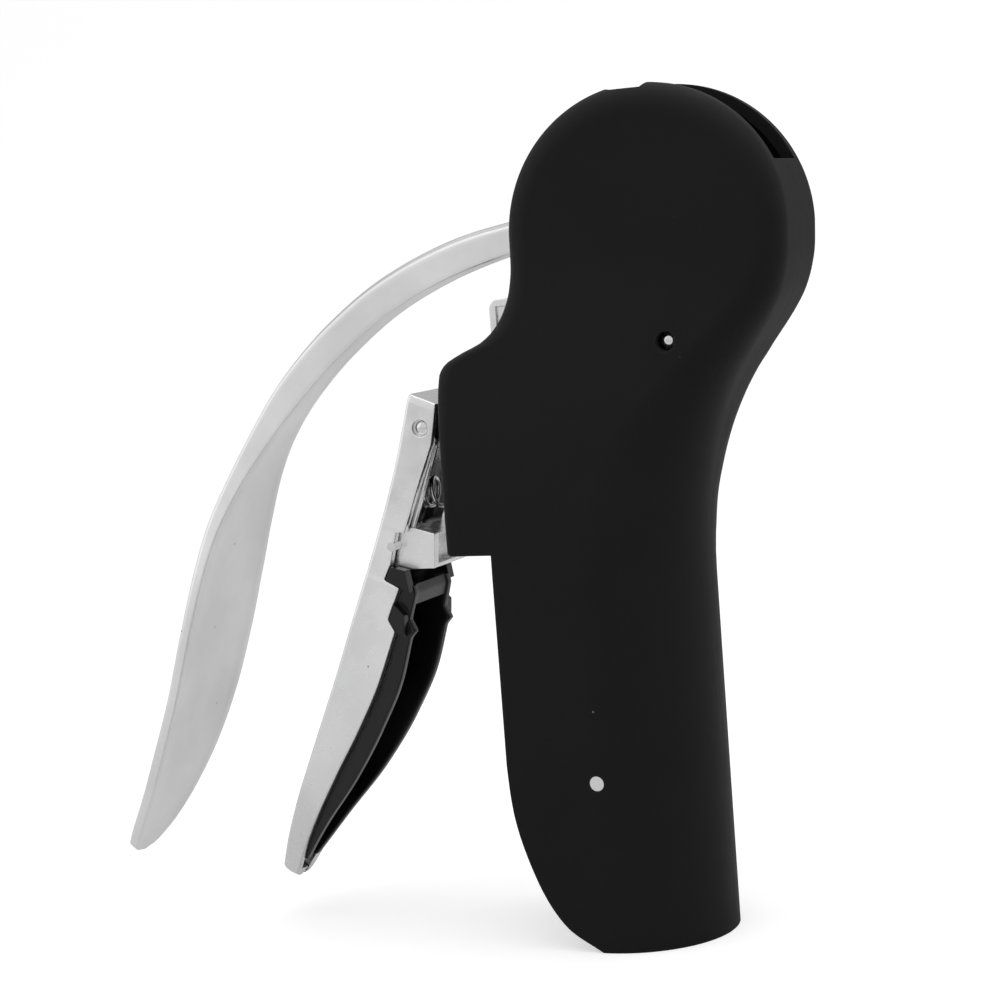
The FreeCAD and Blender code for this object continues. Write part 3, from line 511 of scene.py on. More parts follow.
@dataclass(frozen=True)
class Finish:
    """One finish: colour, gloss and the grain of its kind of surface."""

    name: str
    kind: Surface
    color: Tuple[float, float, float]
    roughness: float
    specular: float = 0.5
    edge: float = 0.25

    def build(self) -> bpy.types.Material:
        """Make the material for this finish.

        Returns:
            A new node-based material.
        """
        graph = Graph(self.name)
        shader = graph.shader.inputs
        shader["Specular IOR Level"].default_value = self.specular
        metal = self.kind in (Surface.CAST, Surface.POLISHED, Surface.MACHINED)
        shader["Metallic"].default_value = 1.0 if metal else 0.0
        maker = {
            Surface.SOFT_TOUCH: self._soft_touch, Surface.CAST: self._cast,
            Surface.POLISHED: self._polished, Surface.MACHINED: self._machined,
            Surface.RUBBER: self._rubber, Surface.PLASTIC: self._plastic,
        }[self.kind]
        maker(graph)
        return graph.material

    def tone(self, share: float) -> Tuple[float, float, float, float]:
        """The finish's colour made lighter or darker."""
        return tuple(min(channel * share, 1.0) for channel in self.color) + (1.0,)

    def _soft_touch(self, graph: Graph) -> None:
        """Matt rubbery paint: fine orange peel, faint handling marks, painted highlights lightening edges and
        creases, rare dust.

        Args:
            graph: the material being built.
        """
        marks = graph.noise(38.0, 3.0)
        body = graph.mix(graph.spread(marks, 0.0, 1.0), self.tone(0.9), self.tone(1.12))
        # painted highlight: base colour lightened along edges and in creases
        edge_highlighted = graph.mix(graph.edge_highlight_mask(0.0006), body, self.tone(1.9))
        dust = graph.specks(95.0, 0.022, 0.3)
        graph.put(graph.shader.inputs["Base Color"], graph.mix(dust, edge_highlighted, (0.11, 0.11, 0.11, 1.0)))
        rough = graph.spread(marks, self.roughness - 0.04, self.roughness + 0.05)
        graph.put(graph.shader.inputs["Roughness"], rough)
        graph.relief([(graph.noise(5200.0, 2.0), 0.000006), (graph.noise(700.0, 2.0), 0.000008)],
                     self.edge * MM)

    def _cast(self, graph: Graph) -> None:
        """Satin casting: fine lengthwise rubbing, cloudy tone, painted highlights lightening edges and
        creases, small pits and darker marks.

        Args:
            graph: the material being built.
        """
        cloud = graph.noise(46.0, 5.0)
        drawn = graph.noise(900.0, 3.0, (0.25, 2.0, 0.25))
        pits = graph.specks(310.0, 0.06, 0.07)
        body = graph.mix(graph.spread(cloud, 0.0, 1.0, 0.38, 0.66), self.tone(0.93), self.tone(1.04))
        # painted highlight: base colour lightened along edges and in creases
        bright = graph.mix(graph.edge_highlight_mask(0.0005), body, self.tone(1.25))
        graph.put(graph.shader.inputs["Base Color"], graph.mix(pits, bright, self.tone(0.35)))
        rough = graph.spread(drawn, self.roughness - 0.05, self.roughness + 0.07)
        graph.put(graph.shader.inputs["Roughness"], rough)
        graph.relief([(drawn, 0.000006), (graph.noise(2600.0, 2.0), 0.000004), (cloud, 0.00003)],
                     self.edge * MM)

    def _polished(self, graph: Graph) -> None:
        """Polished metal: faint smears and hairline scratches.

        Args:
            graph: the material being built.
        """
        smear = graph.noise(160.0, 4.0)
        hair = graph.noise(2400.0, 2.0, (1.0, 0.08, 1.0))
        color = graph.mix(graph.spread(smear, 0.0, 1.0), self.tone(0.92), self.tone(1.03))
        graph.put(graph.shader.inputs["Base Color"], color)
        rough = graph.spread(smear, self.roughness * 0.7, self.roughness * 1.5)
        graph.put(graph.shader.inputs["Roughness"], rough)
        graph.relief([(hair, 0.0000025)], self.edge * MM)

    def _machined(self, graph: Graph) -> None:
        """Machined metal: close parallel tool marks and an oily, uneven sheen.

        Args:
            graph: the material being built.
        """
        marks = graph.noise(3000.0, 2.0, (0.12, 1.0, 0.6))
        oil = graph.noise(120.0, 4.0)
        color = graph.mix(graph.spread(oil, 0.0, 1.0), self.tone(0.78), self.tone(1.05))
        graph.put(graph.shader.inputs["Base Color"], color)
        graph.put(graph.shader.inputs["Roughness"], graph.spread(oil, self.roughness, self.roughness + 0.14))
        graph.relief([(marks, 0.000008)], self.edge * MM)

    def _rubber(self, graph: Graph) -> None:
        """Moulded rubber: smooth with soft waves, and a little bloom.

        Args:
            graph: the material being built.
        """
        bloom = graph.noise(70.0, 5.0)
        color = graph.mix(graph.spread(bloom, 0.0, 1.0, 0.42, 0.75), self.tone(0.8), self.tone(1.6))
        graph.put(graph.shader.inputs["Base Color"], color)
        rough = graph.spread(bloom, self.roughness - 0.04, self.roughness + 0.12)
        graph.put(graph.shader.inputs["Roughness"], rough)
        graph.relief([(graph.noise(240.0, 3.0), 0.00002), (graph.noise(3800.0, 2.0), 0.000004)],
                     self.edge * MM)

    def _plastic(self, graph: Graph) -> None:
        """Moulded plastic: fine spark-eroded texture and faint flow marks.

        Args:
            graph: the material being built.
        """
        flow = graph.noise(60.0, 3.0, (1.0, 1.0, 0.3))
        color = graph.mix(graph.spread(flow, 0.0, 1.0), self.tone(0.85), self.tone(1.2))
        graph.put(graph.shader.inputs["Base Color"], color)
        graph.put(graph.shader.inputs["Roughness"], graph.spread(flow, self.roughness, self.roughness + 0.1))
        graph.relief([(graph.noise(2400.0, 2.0), 0.00001)], self.edge * MM)


FINISHES: Dict[str, Finish] = {
    "soft_black": Finish("soft_black", Surface.SOFT_TOUCH, (0.0082, 0.0082, 0.0084), 0.52, 0.1, 0.3),
    "dark_screw": Finish("dark_screw", Surface.MACHINED, (0.09, 0.09, 0.095), 0.35),
    "satin_metal": Finish("satin_metal", Surface.CAST, (0.83, 0.83, 0.835), 0.34, edge=0.2),
    "bright_cast": Finish("bright_cast", Surface.CAST, (0.86, 0.86, 0.865), 0.24, edge=0.25),
    "gear_steel": Finish("gear_steel", Surface.MACHINED, (0.46, 0.46, 0.47), 0.26, edge=0.1),
    "frame_steel": Finish("frame_steel", Surface.MACHINED, (0.52, 0.52, 0.53), 0.32, edge=0.12),
    "spring_steel": Finish("spring_steel", Surface.POLISHED, (0.66, 0.66, 0.67), 0.16, edge=0.05),
    "worm_steel": Finish("worm_steel", Surface.POLISHED, (0.62, 0.62, 0.63), 0.1, edge=0.1),
    "bright_pin": Finish("bright_pin", Surface.POLISHED, (0.80, 0.80, 0.81), 0.12, edge=0.12),
    "brass": Finish("brass", Surface.MACHINED, (0.69, 0.50, 0.21), 0.24, edge=0.12),
    "inner_plastic": Finish("inner_plastic", Surface.PLASTIC, (0.010, 0.010, 0.0105), 0.45, 0.2, 0.25),
    "neck_rubber": Finish("neck_rubber", Surface.RUBBER, (0.012, 0.012, 0.012), 0.6, 0.3, 0.4),
    "grip_rubber": Finish("grip_rubber", Surface.RUBBER, (0.0035, 0.0035, 0.0035), 0.24, 0.42, 0.2),
}


class Wardrobe:
    """Builds each finish once and puts it on CAD nodes and on finer pieces."""

    def __init__(self) -> None:
        """Build every finish that the record names."""
        self.materials = {name: finish.build() for name, finish in FINISHES.items()}
        self.slots = {part["node"]: part["material_slot"] for part in frame["record"]["subparts"]}

    def dress_frame(self) -> None:
        """Give each CAD node the finish of its slot."""
        for name, obj in frame["nodes"].items():
            obj.data.materials.clear()
            obj.data.materials.append(self.materials[self.slots[name]])

    def dress(self, obj: bpy.types.Object, nodes: Sequence[str], body: str, degrees: float = 32.0) -> None:
        """Finish a finer piece and put it in place of CAD nodes.

        Args:
            obj: the finer piece, in place.
            nodes: the CAD nodes it stands for; the first one gives its slot.
            body: the CAD body it moves with.
            degrees: the angle above which its edges stay sharp.
        """
        slot = self.slots[nodes[0]]
        obj.data.materials.clear()
        obj.data.materials.append(self.materials[slot])
        MeshKit.shade(obj, degrees)
        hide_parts(*nodes)
        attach(obj, body)
        LOG.info("%s: %d faces", obj.name, len(obj.data.polygons))


# ---------------------------------------------------------------- casing
@dataclass(frozen=True)
class Casing:
    """The two moulded halves of the body."""

    pivot: Point = (15.0, 140.5)
    head_radius: float = 28.5
    head_half: float = 14.0
    head_edge: float = 5.5
    wall: float = 2.3
    floor: float = 79.5
    floor_edge: float = 0.7
    blend: float = 5.0
    tube: Tuple[float, ...] = (-18.2, 20.5, 20.5, 20.3, 0.8)
    slot_half: float = 6.75
    seam: float = 0.025
    stations: Tuple[Tuple[float, ...], ...] = (
        (79.5, -27.6, 20.8, 20.5, 20.2, 1.2), (87.0, -27.8, 21.6, 20.4, 19.6, 1.6),
        (94.5, -28.0, 23.3, 20.0, 18.4, 2.0), (101.0, -28.4, 25.3, 19.5, 16.8, 2.5),
        (107.5, -28.8, 28.1, 18.6, 14.5, 3.0), (112.5, -29.0, 31.0, 17.6, 12.5, 3.5),
        (115.0, -28.9, 32.8, 17.1, 11.5, 3.8), (117.0, -27.9, 34.2, 16.7, 10.8, 4.0),
        (119.0, -24.6, 35.7, 16.4, 10.2, 4.2), (121.0, -20.2, 37.2, 16.0, 9.5, 4.5),
        (123.5, -17.4, 38.9, 15.6, 8.6, 5.0), (127.0, -15.3, 40.9, 15.0, 7.5, 5.2),
        (131.0, -14.1, 42.3, 14.5, 6.4, 5.4), (135.5, -13.6, 43.2, 14.1, 5.7, 5.5),
        (140.5, -13.5, 43.5, 14.0, 5.5, 5.5))
    screws: Tuple[Point, ...] = ((35.0, 124.5), (-21.0, 115.5), (15.5, 84.0))
    recess_radius: float = 2.4
    recess_start: float = 7.0
    cup_radius: float = 3.3
    cup_start: float = 5.6
    cup_skin: float = 0.4
    lip_radius: float = 0.25
    past_seam: float = 3.0
    beyond: float = 60.0
    opening_half: float = 12.8
    least_round: float = 0.5
    row_step: float = 0.8
    columns: int = 150
    inner_row_step: float = 2.0
    inner_columns: int = 70
    rim_points: int = 6
    tube_rows: int = 24
    last_turn: float = 87.5
    sweep: Tuple[Point, ...] = ((-18.2, 40.0), (-17.2, 28.5), (-13.0, 14.0), (-7.3, 4.8), (0.0, 0.0))
    sweep_close: Tuple[Point, ...] = ((0.0, -9.0), (-40.0, -9.0), (-40.0, 40.0))
    slot_end: Tuple[Point, ...] = ((0.0, 0.0), (26.0, 24.6), (27.6, 24.1), (31.0, 26.2))
    slot_reach: float = 50.0
    slot_angles: Tuple[float, ...] = (25.0, 65.0, 105.0, 145.0)
    slot_front: Tuple[Point, ...] = ((-40.0, 150.0), (-40.0, 121.5), (-9.0, 121.5))
    notch: Tuple[Point, ...] = ((8.6, 168.0), (16.6, 168.0), (17.8, 169.4), (17.8, 171.0), (8.6, 171.0))
    mouth: Tuple[Point, ...] = ((-40.0, -1.0), (-10.0, -1.0), (-10.0, 80.5), (-40.0, 80.5))
    opening: Tuple[Point, ...] = ((-34.0, 70.0), (-10.0, 70.0), (-10.0, 112.0), (-34.0, 112.0))
    axle_hole: Tuple[float, ...] = (1.85, 20.0, 119.5, 16.3)
    liner_hole: Tuple[float, ...] = (1.5, 1.0, 34.0, 20.5)

    def section(self, z: float, inset: float, columns: int, upper: bool) -> Tuple[np.ndarray, np.ndarray]:
        """Half a level section, from its front edge round one side to its back edge.

        Args:
            z: height.
            inset: how far inside the outer surface.
            columns: points along the side.
            upper: use the boss's section, not the tube's, where both meet.

        Returns:
            x and half thickness of each point.
        """
        share = 0.5 - 0.5 * np.cos(np.linspace(0.0, math.pi, columns))
        if z > self.pivot[1]:
            rise = z - self.pivot[1]
            reach = math.sqrt(max((self.head_radius - inset) ** 2 - rise ** 2, 1e-6))
            x = self.pivot[0] - reach + 2 * reach * share
            edge, core = self.head_edge - inset, self.head_radius - self.head_edge
            out = np.clip((np.hypot(x - self.pivot[0], rise) - core) / edge, 0.0, 1.0)
            return x, self.head_half - self.head_edge + edge * np.sqrt(1.0 - out * out)
        table = np.array(self.stations)
        reading = np.array([max(z, self.floor)])
        front, back, half, back_round, front_round = smooth_table(table[:, 0], table[:, 1:], reading)[0]
        above = z - self.floor
        if upper and above < self.floor_edge and inset == 0.0:
            front += self.floor_edge - math.sqrt(self.floor_edge ** 2 - (self.floor_edge - above) ** 2)
        spread = front + inset + (back - front - 2 * inset) * share
        if not upper:
            blend = min(max((self.floor - z) / self.blend, 0.0), 1.0)
            blend = blend * blend * (3 - 2 * blend)
            back += (self.tube[1] - back) * blend
            back_round += (self.tube[3] - back_round) * blend
            spread = front + inset + (back - front - 2 * inset) * share
            front, half, front_round = self.tube[0], self.tube[2], self.tube[4]
        front, back, half = front + inset, back - inset, half - inset
        back_round = max(back_round - inset, self.least_round)
        front_round = max(front_round - inset, self.least_round)
        x = np.maximum(spread, front)
        y = np.full(columns, half)
        near_front, near_back = x < front + front_round, x > back - back_round
        in_front, behind = front + front_round - x[near_front], x[near_back] - back + back_round
        y[near_front] += np.sqrt(np.clip(front_round ** 2 - in_front ** 2, 0, None))
        y[near_front] -= front_round
        y[near_back] += np.sqrt(np.clip(back_round ** 2 - behind ** 2, 0, None))
        y[near_back] -= back_round
        return x, y

    def levels(self, fine: float, inset: float) -> List[Tuple[float, bool]]:
        """Heights of the level sections, from the rim to the top of the head.

        Args:
            fine: spacing of the rows, mm.
            inset: how far inside the outer surface.

        Returns:
            Each height, with whether the boss's section is used there.
        """
        low = -2.0 if inset else 0.0
        rows = [(z, False) for z in np.linspace(low, self.floor, self.tube_rows)]
        rows += [(self.floor + self.floor_edge * (1 - math.cos(a)), True) for a in np.linspace(0, 1.5, 7)]
        start = self.floor + self.floor_edge
        count = int((self.pivot[1] - start) / fine)
        rows += [(z, True) for z in np.linspace(start, self.pivot[1], count)]
        turns = np.radians(np.linspace(0.0, self.last_turn, int(70 / fine))[1:])
        rows += [(self.pivot[1] + (self.head_radius - inset) * math.sin(a), True) for a in turns]
        return rows

    def half_solid(self, inset: float, seam: float, fine: float, columns: int) -> bpy.types.Object:
        """One half of the body's shape, closed along a plane of constant Y.

        Args:
            inset: how far inside the outer surface.
            seam: where its flat side lies, positive on the near side.
            fine: spacing of the rows, mm.
            columns: points along each section's side.

        Returns:
            The closed solid.
        """
        rings = []
        for z, upper in self.levels(fine, inset):
            x, y = self.section(z, inset, columns, upper)
            rim = np.linspace(0, 1, self.rim_points + 1)[:-1]
            rims = [seam + (edge - seam) * rim for edge in (y[0], y[-1])]
            ring_x = np.concatenate([np.full(self.rim_points, x[0]), x, np.full(self.rim_points, x[-1])])
            ring_y = np.concatenate([rims[0], y, rims[1][::-1]])
            rings.append(np.stack([ring_x, -ring_y, np.full(len(ring_x), z)], -1))
        return MeshKit.weld(MeshKit.loft("casing_half", np.array(rings)))

    def at(self, radius: float, degrees: float) -> Point:
        """A point about the lever pivot."""
        angle = math.radians(degrees)
        return self.pivot[0] + radius * math.cos(angle), self.pivot[1] + radius * math.sin(angle)

    def tools(self) -> List[bpy.types.Object]:
        """What is cut from the near half: hollow, mouth, slot, openings and pin holes.

        Returns:
            The cutting solids, in the order they are used.
        """
        front = smooth_rows(self.sweep, 60).tolist() + list(self.sweep_close)
        inner_tube = self.tube[2] - self.wall
        slot = [self.at(radius, angle) for radius, angle in self.slot_end]
        slot += [self.at(self.slot_reach, angle) for angle in self.slot_angles] + list(self.slot_front)
        return [
            self.half_solid(self.wall, -2.0, self.inner_row_step, self.inner_columns),
            MeshKit.prism(front, -self.beyond, self.beyond),
            MeshKit.prism(self.mouth, -inner_tube, self.past_seam),
            MeshKit.prism(slot, -self.slot_half, self.past_seam),
            MeshKit.prism(self.opening, -self.opening_half, self.past_seam),
            MeshKit.prism(self.notch, -self.beyond, self.beyond),
            self.dished_hole(*self.axle_hole),
            self.dished_hole(*self.liner_hole),
        ]

    def dished_hole(self, radius: float, x: float, z: float, surface: float) -> bpy.types.Object:
        """A tool for a pin hole with a small rounded lip.

        Args:
            radius: the hole's radius.
            x: the hole's place along X.
            z: the hole's place along Z.
            surface: how far the outer surface lies from the seam.

        Returns:
            The cutting solid.
        """
        lip = [(radius + self.lip_radius * (1 - math.cos(a)),
                -surface + self.lip_radius - self.lip_radius * math.sin(a)) for a in np.linspace(0.0, 1.3, 5)]
        outline = [(0.0, self.past_seam), (radius, self.past_seam)] + lip
        outline += [(radius + 0.3, -self.beyond), (0.0, -self.beyond)]
        return MeshKit.lathe("tool", outline, x, z)

    def screw_cups(self, half: bpy.types.Object) -> bpy.types.Object:
        """Sink the screw recesses in the right half and line them with cups.

        Args:
            half: the right half; its mesh is used up.

        Returns:
            The half with its cups.
        """
        cups = []
        around = (-self.cup_radius, 0.0, self.cup_radius)
        for x, z in self.screws:
            depth = min(float(np.interp(x + reach, *self.section(z + rise, 0.0, 200, True)))
                        for reach in around for rise in around) - self.cup_skin
            outer = [(0.0, self.cup_start), (self.cup_radius, self.cup_start), (self.cup_radius, depth),
                     (0.0, depth)]
            cup, recess = MeshKit.lathe("cup", outer, x, z), self.recess(x, z)
            cups.append(MeshKit.combine(cup, recess, "DIFFERENCE"))
            MeshKit.combine(half, self.recess(x, z), "DIFFERENCE")
        return MeshKit.join([half] + cups, "casing_right")

    def recess(self, x: float, z: float) -> bpy.types.Object:
        """The tool for one screw's recess."""
        return MeshKit.rod(self.recess_radius, x, z, self.recess_start, 40.0)

    def build(self, wardrobe: Wardrobe) -> None:
        """Make both halves and put them in place of the CAD ones.

        Args:
            wardrobe: puts the finish on each half.
        """
        near = self.half_solid(0.0, self.seam, self.row_step, self.columns)
        for tool in self.tools():
            near = MeshKit.combine(near, tool, "DIFFERENCE")
        near.name = "casing_left"
        far = self.screw_cups(MeshKit.mirror(near, "casing_far"))
        wardrobe.dress(near, ["left_casing"], "body", 30.0)
        wardrobe.dress(far, ["right_casing"], "body", 30.0)


# ---------------------------------------------------------------- pull lever
@dataclass(frozen=True)
class PullLever:
    """The cast lever: a slim arched arm that widens to a dished paddle."""

    stations: Tuple[Tuple[float, ...], ...] = (
        (9.0, 142.0, 7.0, 6.0), (2.0, 141.2, 7.0, 6.4), (-12.0, 138.9, 7.0, 6.4),
        (-27.0, 135.1, 7.2, 7.2),
        (-42.8, 128.5, 7.3, 7.5), (-55.5, 120.0, 7.6, 7.6), (-66.0, 110.6, 9.0, 7.2),
        (-73.6, 102.0, 13.0, 5.6), (-79.0, 94.2, 18.5, 4.4),
        (-84.4, 83.7, 25.0, 3.8), (-88.4, 73.2, 28.0, 3.4), (-92.4, 61.4, 29.0, 3.2),
        (-96.8, 48.7, 28.0, 3.2),
        (-101.8, 37.0, 26.0, 3.2), (-107.3, 26.3, 21.5, 3.1), (-112.8, 17.6, 15.5, 3.0),
        (-117.0, 12.2, 8.0, 2.8))
    rows: int = 240
    tip_length: float = 2.2
    pivot: Point = (15.0, 140.5)
    cheek_radius: float = 11.5
    cheek_half: float = 3.6
    fork_radius: float = 15.6
    fork_half: float = 1.55
    pin_radius: float = 1.93

    def section(self, width: float, thick: float) -> np.ndarray:
        """One closed section across the arm.

        Args:
            width: the arm's width.
            thick: the arm's thickness.

        Returns:
            (y, height over the inner face) points.
        """
        half = width / 2
        crown = 0.10 * thick + 0.02 * width
        top = thick - crown
        outer_round = min(0.9, 0.28 * thick, 0.4 * half)
        inner_round = min(0.35, 0.14 * thick, 0.3 * half)
        rim = min(1.1, 0.2 * half)
        dish = 0.05 + 0.055 * max(width - 8.0, 0.0)
        places = np.linspace(-1, 1, 33)
        flat = half - outer_round
        outer = [(flat * p, top + crown * (1 - p * p)) for p in places]
        right = arc((flat, top - outer_round), outer_round, 90, 0, 7)[1:]
        right += line((half, top - outer_round), (half, inner_round), 6)
        right += arc((half - inner_round, inner_round), inner_round, 0, -90, 6)
        floor_half = half - inner_round - rim
        inner = []
        for p in places[::-1]:
            inner.append((floor_half * p, dish * (1 - abs(p) ** 3.2) + 0.06 * (1 - abs(p) ** 24)))
        left = [(-y, n) for y, n in right[::-1]]
        return np.array(outer + right + inner + left)

    def arm(self) -> bpy.types.Object:
        """The arm and paddle, with a rounded tip.

        Returns:
            One closed solid from inside the hub to the tip.
        """
        table = smooth_rows(self.stations, self.rows)
        along = np.gradient(table[:, :2], axis=0)
        along /= np.linalg.norm(along, axis=1)[:, None]
        length = np.concatenate([[0.0], np.cumsum(np.hypot(*np.diff(table[:, :2], axis=0).T))])
        left = length[-1] - length
        rings = []
        for (x, z, width, thick), (dx, dz), rest in zip(table, along, left):
            if rest < self.tip_length:
                part = 1 - rest / self.tip_length
                width *= max(math.sqrt(max(1 - part ** 2.5, 0.0)), 0.06)
                thick *= max(math.sqrt(max(1 - part ** 6, 0.0)), 0.35)
            shape = self.section(width, thick)
            rings.append(np.stack([x + dz * shape[:, 1], shape[:, 0], z - dx * shape[:, 1]], -1))
        return MeshKit.loft("lever_arm", np.array(rings))

    def build(self, wardrobe: Wardrobe) -> None:
        """Join the arm to its forked hub and put the lever in place of the CAD one.

        Args:
            wardrobe: puts the finish on the lever.
        """
        cheeks = MeshKit.rod(self.cheek_radius, *self.pivot, -self.cheek_half, self.cheek_half)
        lever = MeshKit.combine(self.arm(), cheeks, "UNION")
        fork = MeshKit.rod(self.fork_radius, *self.pivot, -self.fork_half, self.fork_half)
        lever = MeshKit.combine(lever, fork, "DIFFERENCE")
        lever = MeshKit.combine(lever, MeshKit.rod(self.pin_radius, *self.pivot, -10.0, 10.0), "DIFFERENCE")
        lever.name = "lever_cast"
        wardrobe.dress(lever, ["pull_lever"], "lever", 36.0)


# ---------------------------------------------------------------- clamp
@dataclass(frozen=True)
class Channel:
    """A channel section swept down the clamp: level rows in a frame leaned with the handle."""

    lean: float = 22.0
    back: Tuple[Point, ...] = (
        (-38.6, 111.4), (-40.3, 105.4), (-43.2, 95.7), (-46.6, 85.9), (-50.2, 76.0), (-54.2, 66.0),
        (-58.4, 55.9),
        (-63.0, 45.7), (-68.0, 35.4), (-73.2, 25.0), (-78.2, 14.4), (-79.6, 11.2), (-78.6, 8.6))
    widths: Tuple[Point, ...] = (
        (8.0, 3.2), (11.5, 4.6), (18.0, 7.0), (32.0, 10.0), (46.0, 11.3), (62.0, 11.6), (76.0, 10.8),
        (90.0, 9.6),
        (102.0, 9.3), (114.0, 9.3))

    def lean_in(self, points: Sequence[Point]) -> np.ndarray:
        """(x, z) points as (depth, height) in the leaned frame.

        Args:
            points: points on the plane Y = 0.

        Returns:
            One (depth, height) row a point.
        """
        turn = math.radians(self.lean)
        data = np.array(points, float)
        depth = data[:, 0] * math.cos(turn) - data[:, 1] * math.sin(turn)
        height = data[:, 0] * math.sin(turn) + data[:, 1] * math.cos(turn)
        return np.stack([depth, height], -1)

    def lean_out(self, depth: np.ndarray, height: float) -> Tuple[np.ndarray, np.ndarray]:
        """Depth and height in the leaned frame as x and z.

        Args:
            depth: depths at one height.
            height: that height.

        Returns:
            x and z of each depth.
        """
        turn = math.radians(self.lean)
        return (depth * math.cos(turn) + height * math.sin(turn),
                height * math.cos(turn) - depth * math.sin(turn))

    def back_depth(self, heights: np.ndarray) -> np.ndarray:
        """Depth of the handle's back at leaned heights.

        Args:
            heights: where to read it.

        Returns:
            One depth a height.
        """
        line_in = self.lean_in(self.back)
        line_in = line_in[np.argsort(line_in[:, 1])]
        return smooth_table(line_in[:, 1], line_in[:, :1], heights)[:, 0]

    def half_width(self, z: np.ndarray) -> np.ndarray:
        """The handle's half width at true heights."""
        table = np.array(self.widths)
        return smooth_table(table[:, 0], table[:, 1:], np.clip(z, 8.0, 114.0))[:, 0]

    def edge_depth(self, edge: Sequence[Point], heights: np.ndarray, plain: int) -> np.ndarray:
        """Depth of an edge at leaned heights: a curve low down, and straight runs above.

        Args:
            edge: (x, z) points from the bottom up.
            heights: leaned heights to read.
            plain: how many of the lowest points the smooth run covers.

        Returns:
            One depth a height.
        """
        line_in = self.lean_in(edge)
        curve = smooth_table(line_in[:plain, 1], line_in[:plain, :1], heights)[:, 0]
        rising = line_in[np.argsort(line_in[:, 1])]
        straight = np.interp(heights, rising[:, 1], rising[:, 0])
        return np.where(heights < line_in[plain - 1, 1], curve, straight)

    @staticmethod
    def ring(back: float, front: float, half: float, wall: float, web: float,
             back_round: float) -> np.ndarray:
        """One closed channel section as (depth, y) points.

        Args:
            back: depth of its back.
            front: depth of its open edges.
            half: half its width outside.
            wall: thickness of its sides.
            web: thickness of its back.
            back_round: radius of its two outer corners.

        Returns:
            The closed loop of points.
        """
        lip = min(0.3, wall * 0.3, max(front - back, 0.2) * 0.2)
        back_round = min(back_round, half * 0.7, (front - back) * 0.6)
        inner = max(half - wall, 0.12)
        floor = min(back + web, front - 1.2 * lip)
        inner_round = min(0.6, inner * 0.5, max(front - lip - floor, 0.02) * 0.5)
        side = arc((front - lip, -half + lip), lip, 0, -90, 4)
        side += line((front - lip, -half), (back + back_round, -half), 12)
        side += arc((back + back_round, -half + back_round), back_round, 270, 180, 9)
        side += line((back, -half + back_round), (back, 0.0), 5)
        inside = [(floor, 0.0)] + line((floor, 0.0), (floor, -inner + inner_round), 4)
        inside += arc((floor + inner_round, -inner + inner_round), inner_round, 180, 270, 6)
        inside += line((floor + inner_round, -inner), (front - lip, -inner), 10)
        inside += arc((front - lip, -inner - lip), lip, 90, 0, 4)
        far_side = [(d, -y) for d, y in side[::-1]]
        far_inside = [(d, -y) for d, y in inside[:0:-1]]
        return np.array(side + [(back, 0.0)] + far_side + far_inside + inside)


@dataclass(frozen=True)
class ClampHandle:
    """The bright cast handle of the clamp."""

    shape: Channel = Channel()
    wall: float = 1.9
    web: float = 1.3
    top: float = 88.9
    bottom: float = -21.3
    back_round: float = 0.55
    top_run: float = 2.2
    tip_run: float = 1.6
    least_reach: float = 0.8
    plain_points: int = 6
    pivot: Point = (-36.4, 104.3)
    hole_radius: float = 1.53
    recess_radius: float = 1.8
    recess_floor: float = 8.2
    carrier_hole: Tuple[float, ...] = (1.0, -44.4, 80.4)
    front: Tuple[Point, ...] = (
        (-76.6, 8.9), (-71.6, 17.4), (-62.0, 32.0), (-54.4, 43.4), (-48.9, 53.3), (-44.7, 62.9),
        (-46.1, 65.4),
        (-43.2, 71.9), (-46.5, 73.6), (-44.9, 76.7), (-43.3, 83.2), (-41.6, 82.9), (-37.3, 93.8),
        (-34.2, 100.8), (-33.5, 104.0), (-32.3, 110.0))

    def build(self, wardrobe: Wardrobe) -> None:
        """Loft the channel, drill it and put it in place of the CAD handle.

        Args:
            wardrobe: puts the finish on the handle.
        """
        heights = np.concatenate([np.linspace(self.top, self.top - 3.0, 14)[:-1],
                                  np.linspace(self.top - 3.0, self.bottom + 2.0, 220)[:-1],
                                  np.linspace(self.bottom + 2.0, self.bottom, 14)])
        backs = self.shape.back_depth(heights)
        fronts = self.shape.edge_depth(self.front, heights, self.plain_points)
        rings = []
        for height, back, front in zip(heights, backs, fronts):
            reach = max(front - back, self.least_reach)
            _, z = self.shape.lean_out(np.array([back + reach * 0.5]), height)
            half = float(self.shape.half_width(z)[0])
            over = max(0.0, 1 - (self.top - height) / self.top_run)
            under = max(0.0, 1 - (height - self.bottom) / self.tip_run)
            web = self.web + (reach - self.web) * min(1.0, 1.6 * max(over, under))
            ease = 0.5 * (1 - math.sqrt(max(1 - over ** 2, 0.0))) if over > 0.4 else 0.0
            half = half * (1 - 0.45 * (1 - math.sqrt(max(1 - under ** 2, 0.0)))) - 0.8 * ease
            ring = Channel.ring(back + 0.6 * ease, back + reach - 0.4 * ease, half, self.wall, web,
                                self.back_round)
            x, z_ring = self.shape.lean_out(ring[:, 0], height)
            rings.append(np.stack([x, ring[:, 1], z_ring], -1))
        handle = MeshKit.loft("clamp_cast", np.array(rings))
        wide, bore, deep = self.recess_radius, self.hole_radius, self.recess_floor
        recess = [(0.0, -20.0), (wide, -20.0), (wide, -deep), (bore, -deep), (bore, deep), (wide, deep),
                  (wide, 20.0), (0.0, 20.0)]
        handle = MeshKit.combine(handle, MeshKit.lathe("tool", recess, *self.pivot), "DIFFERENCE")
        handle = MeshKit.combine(handle, MeshKit.rod(*self.carrier_hole, -20.0, 20.0), "DIFFERENCE")
        wardrobe.dress(handle, ["clamp_handle"], "clamp", 40.0)


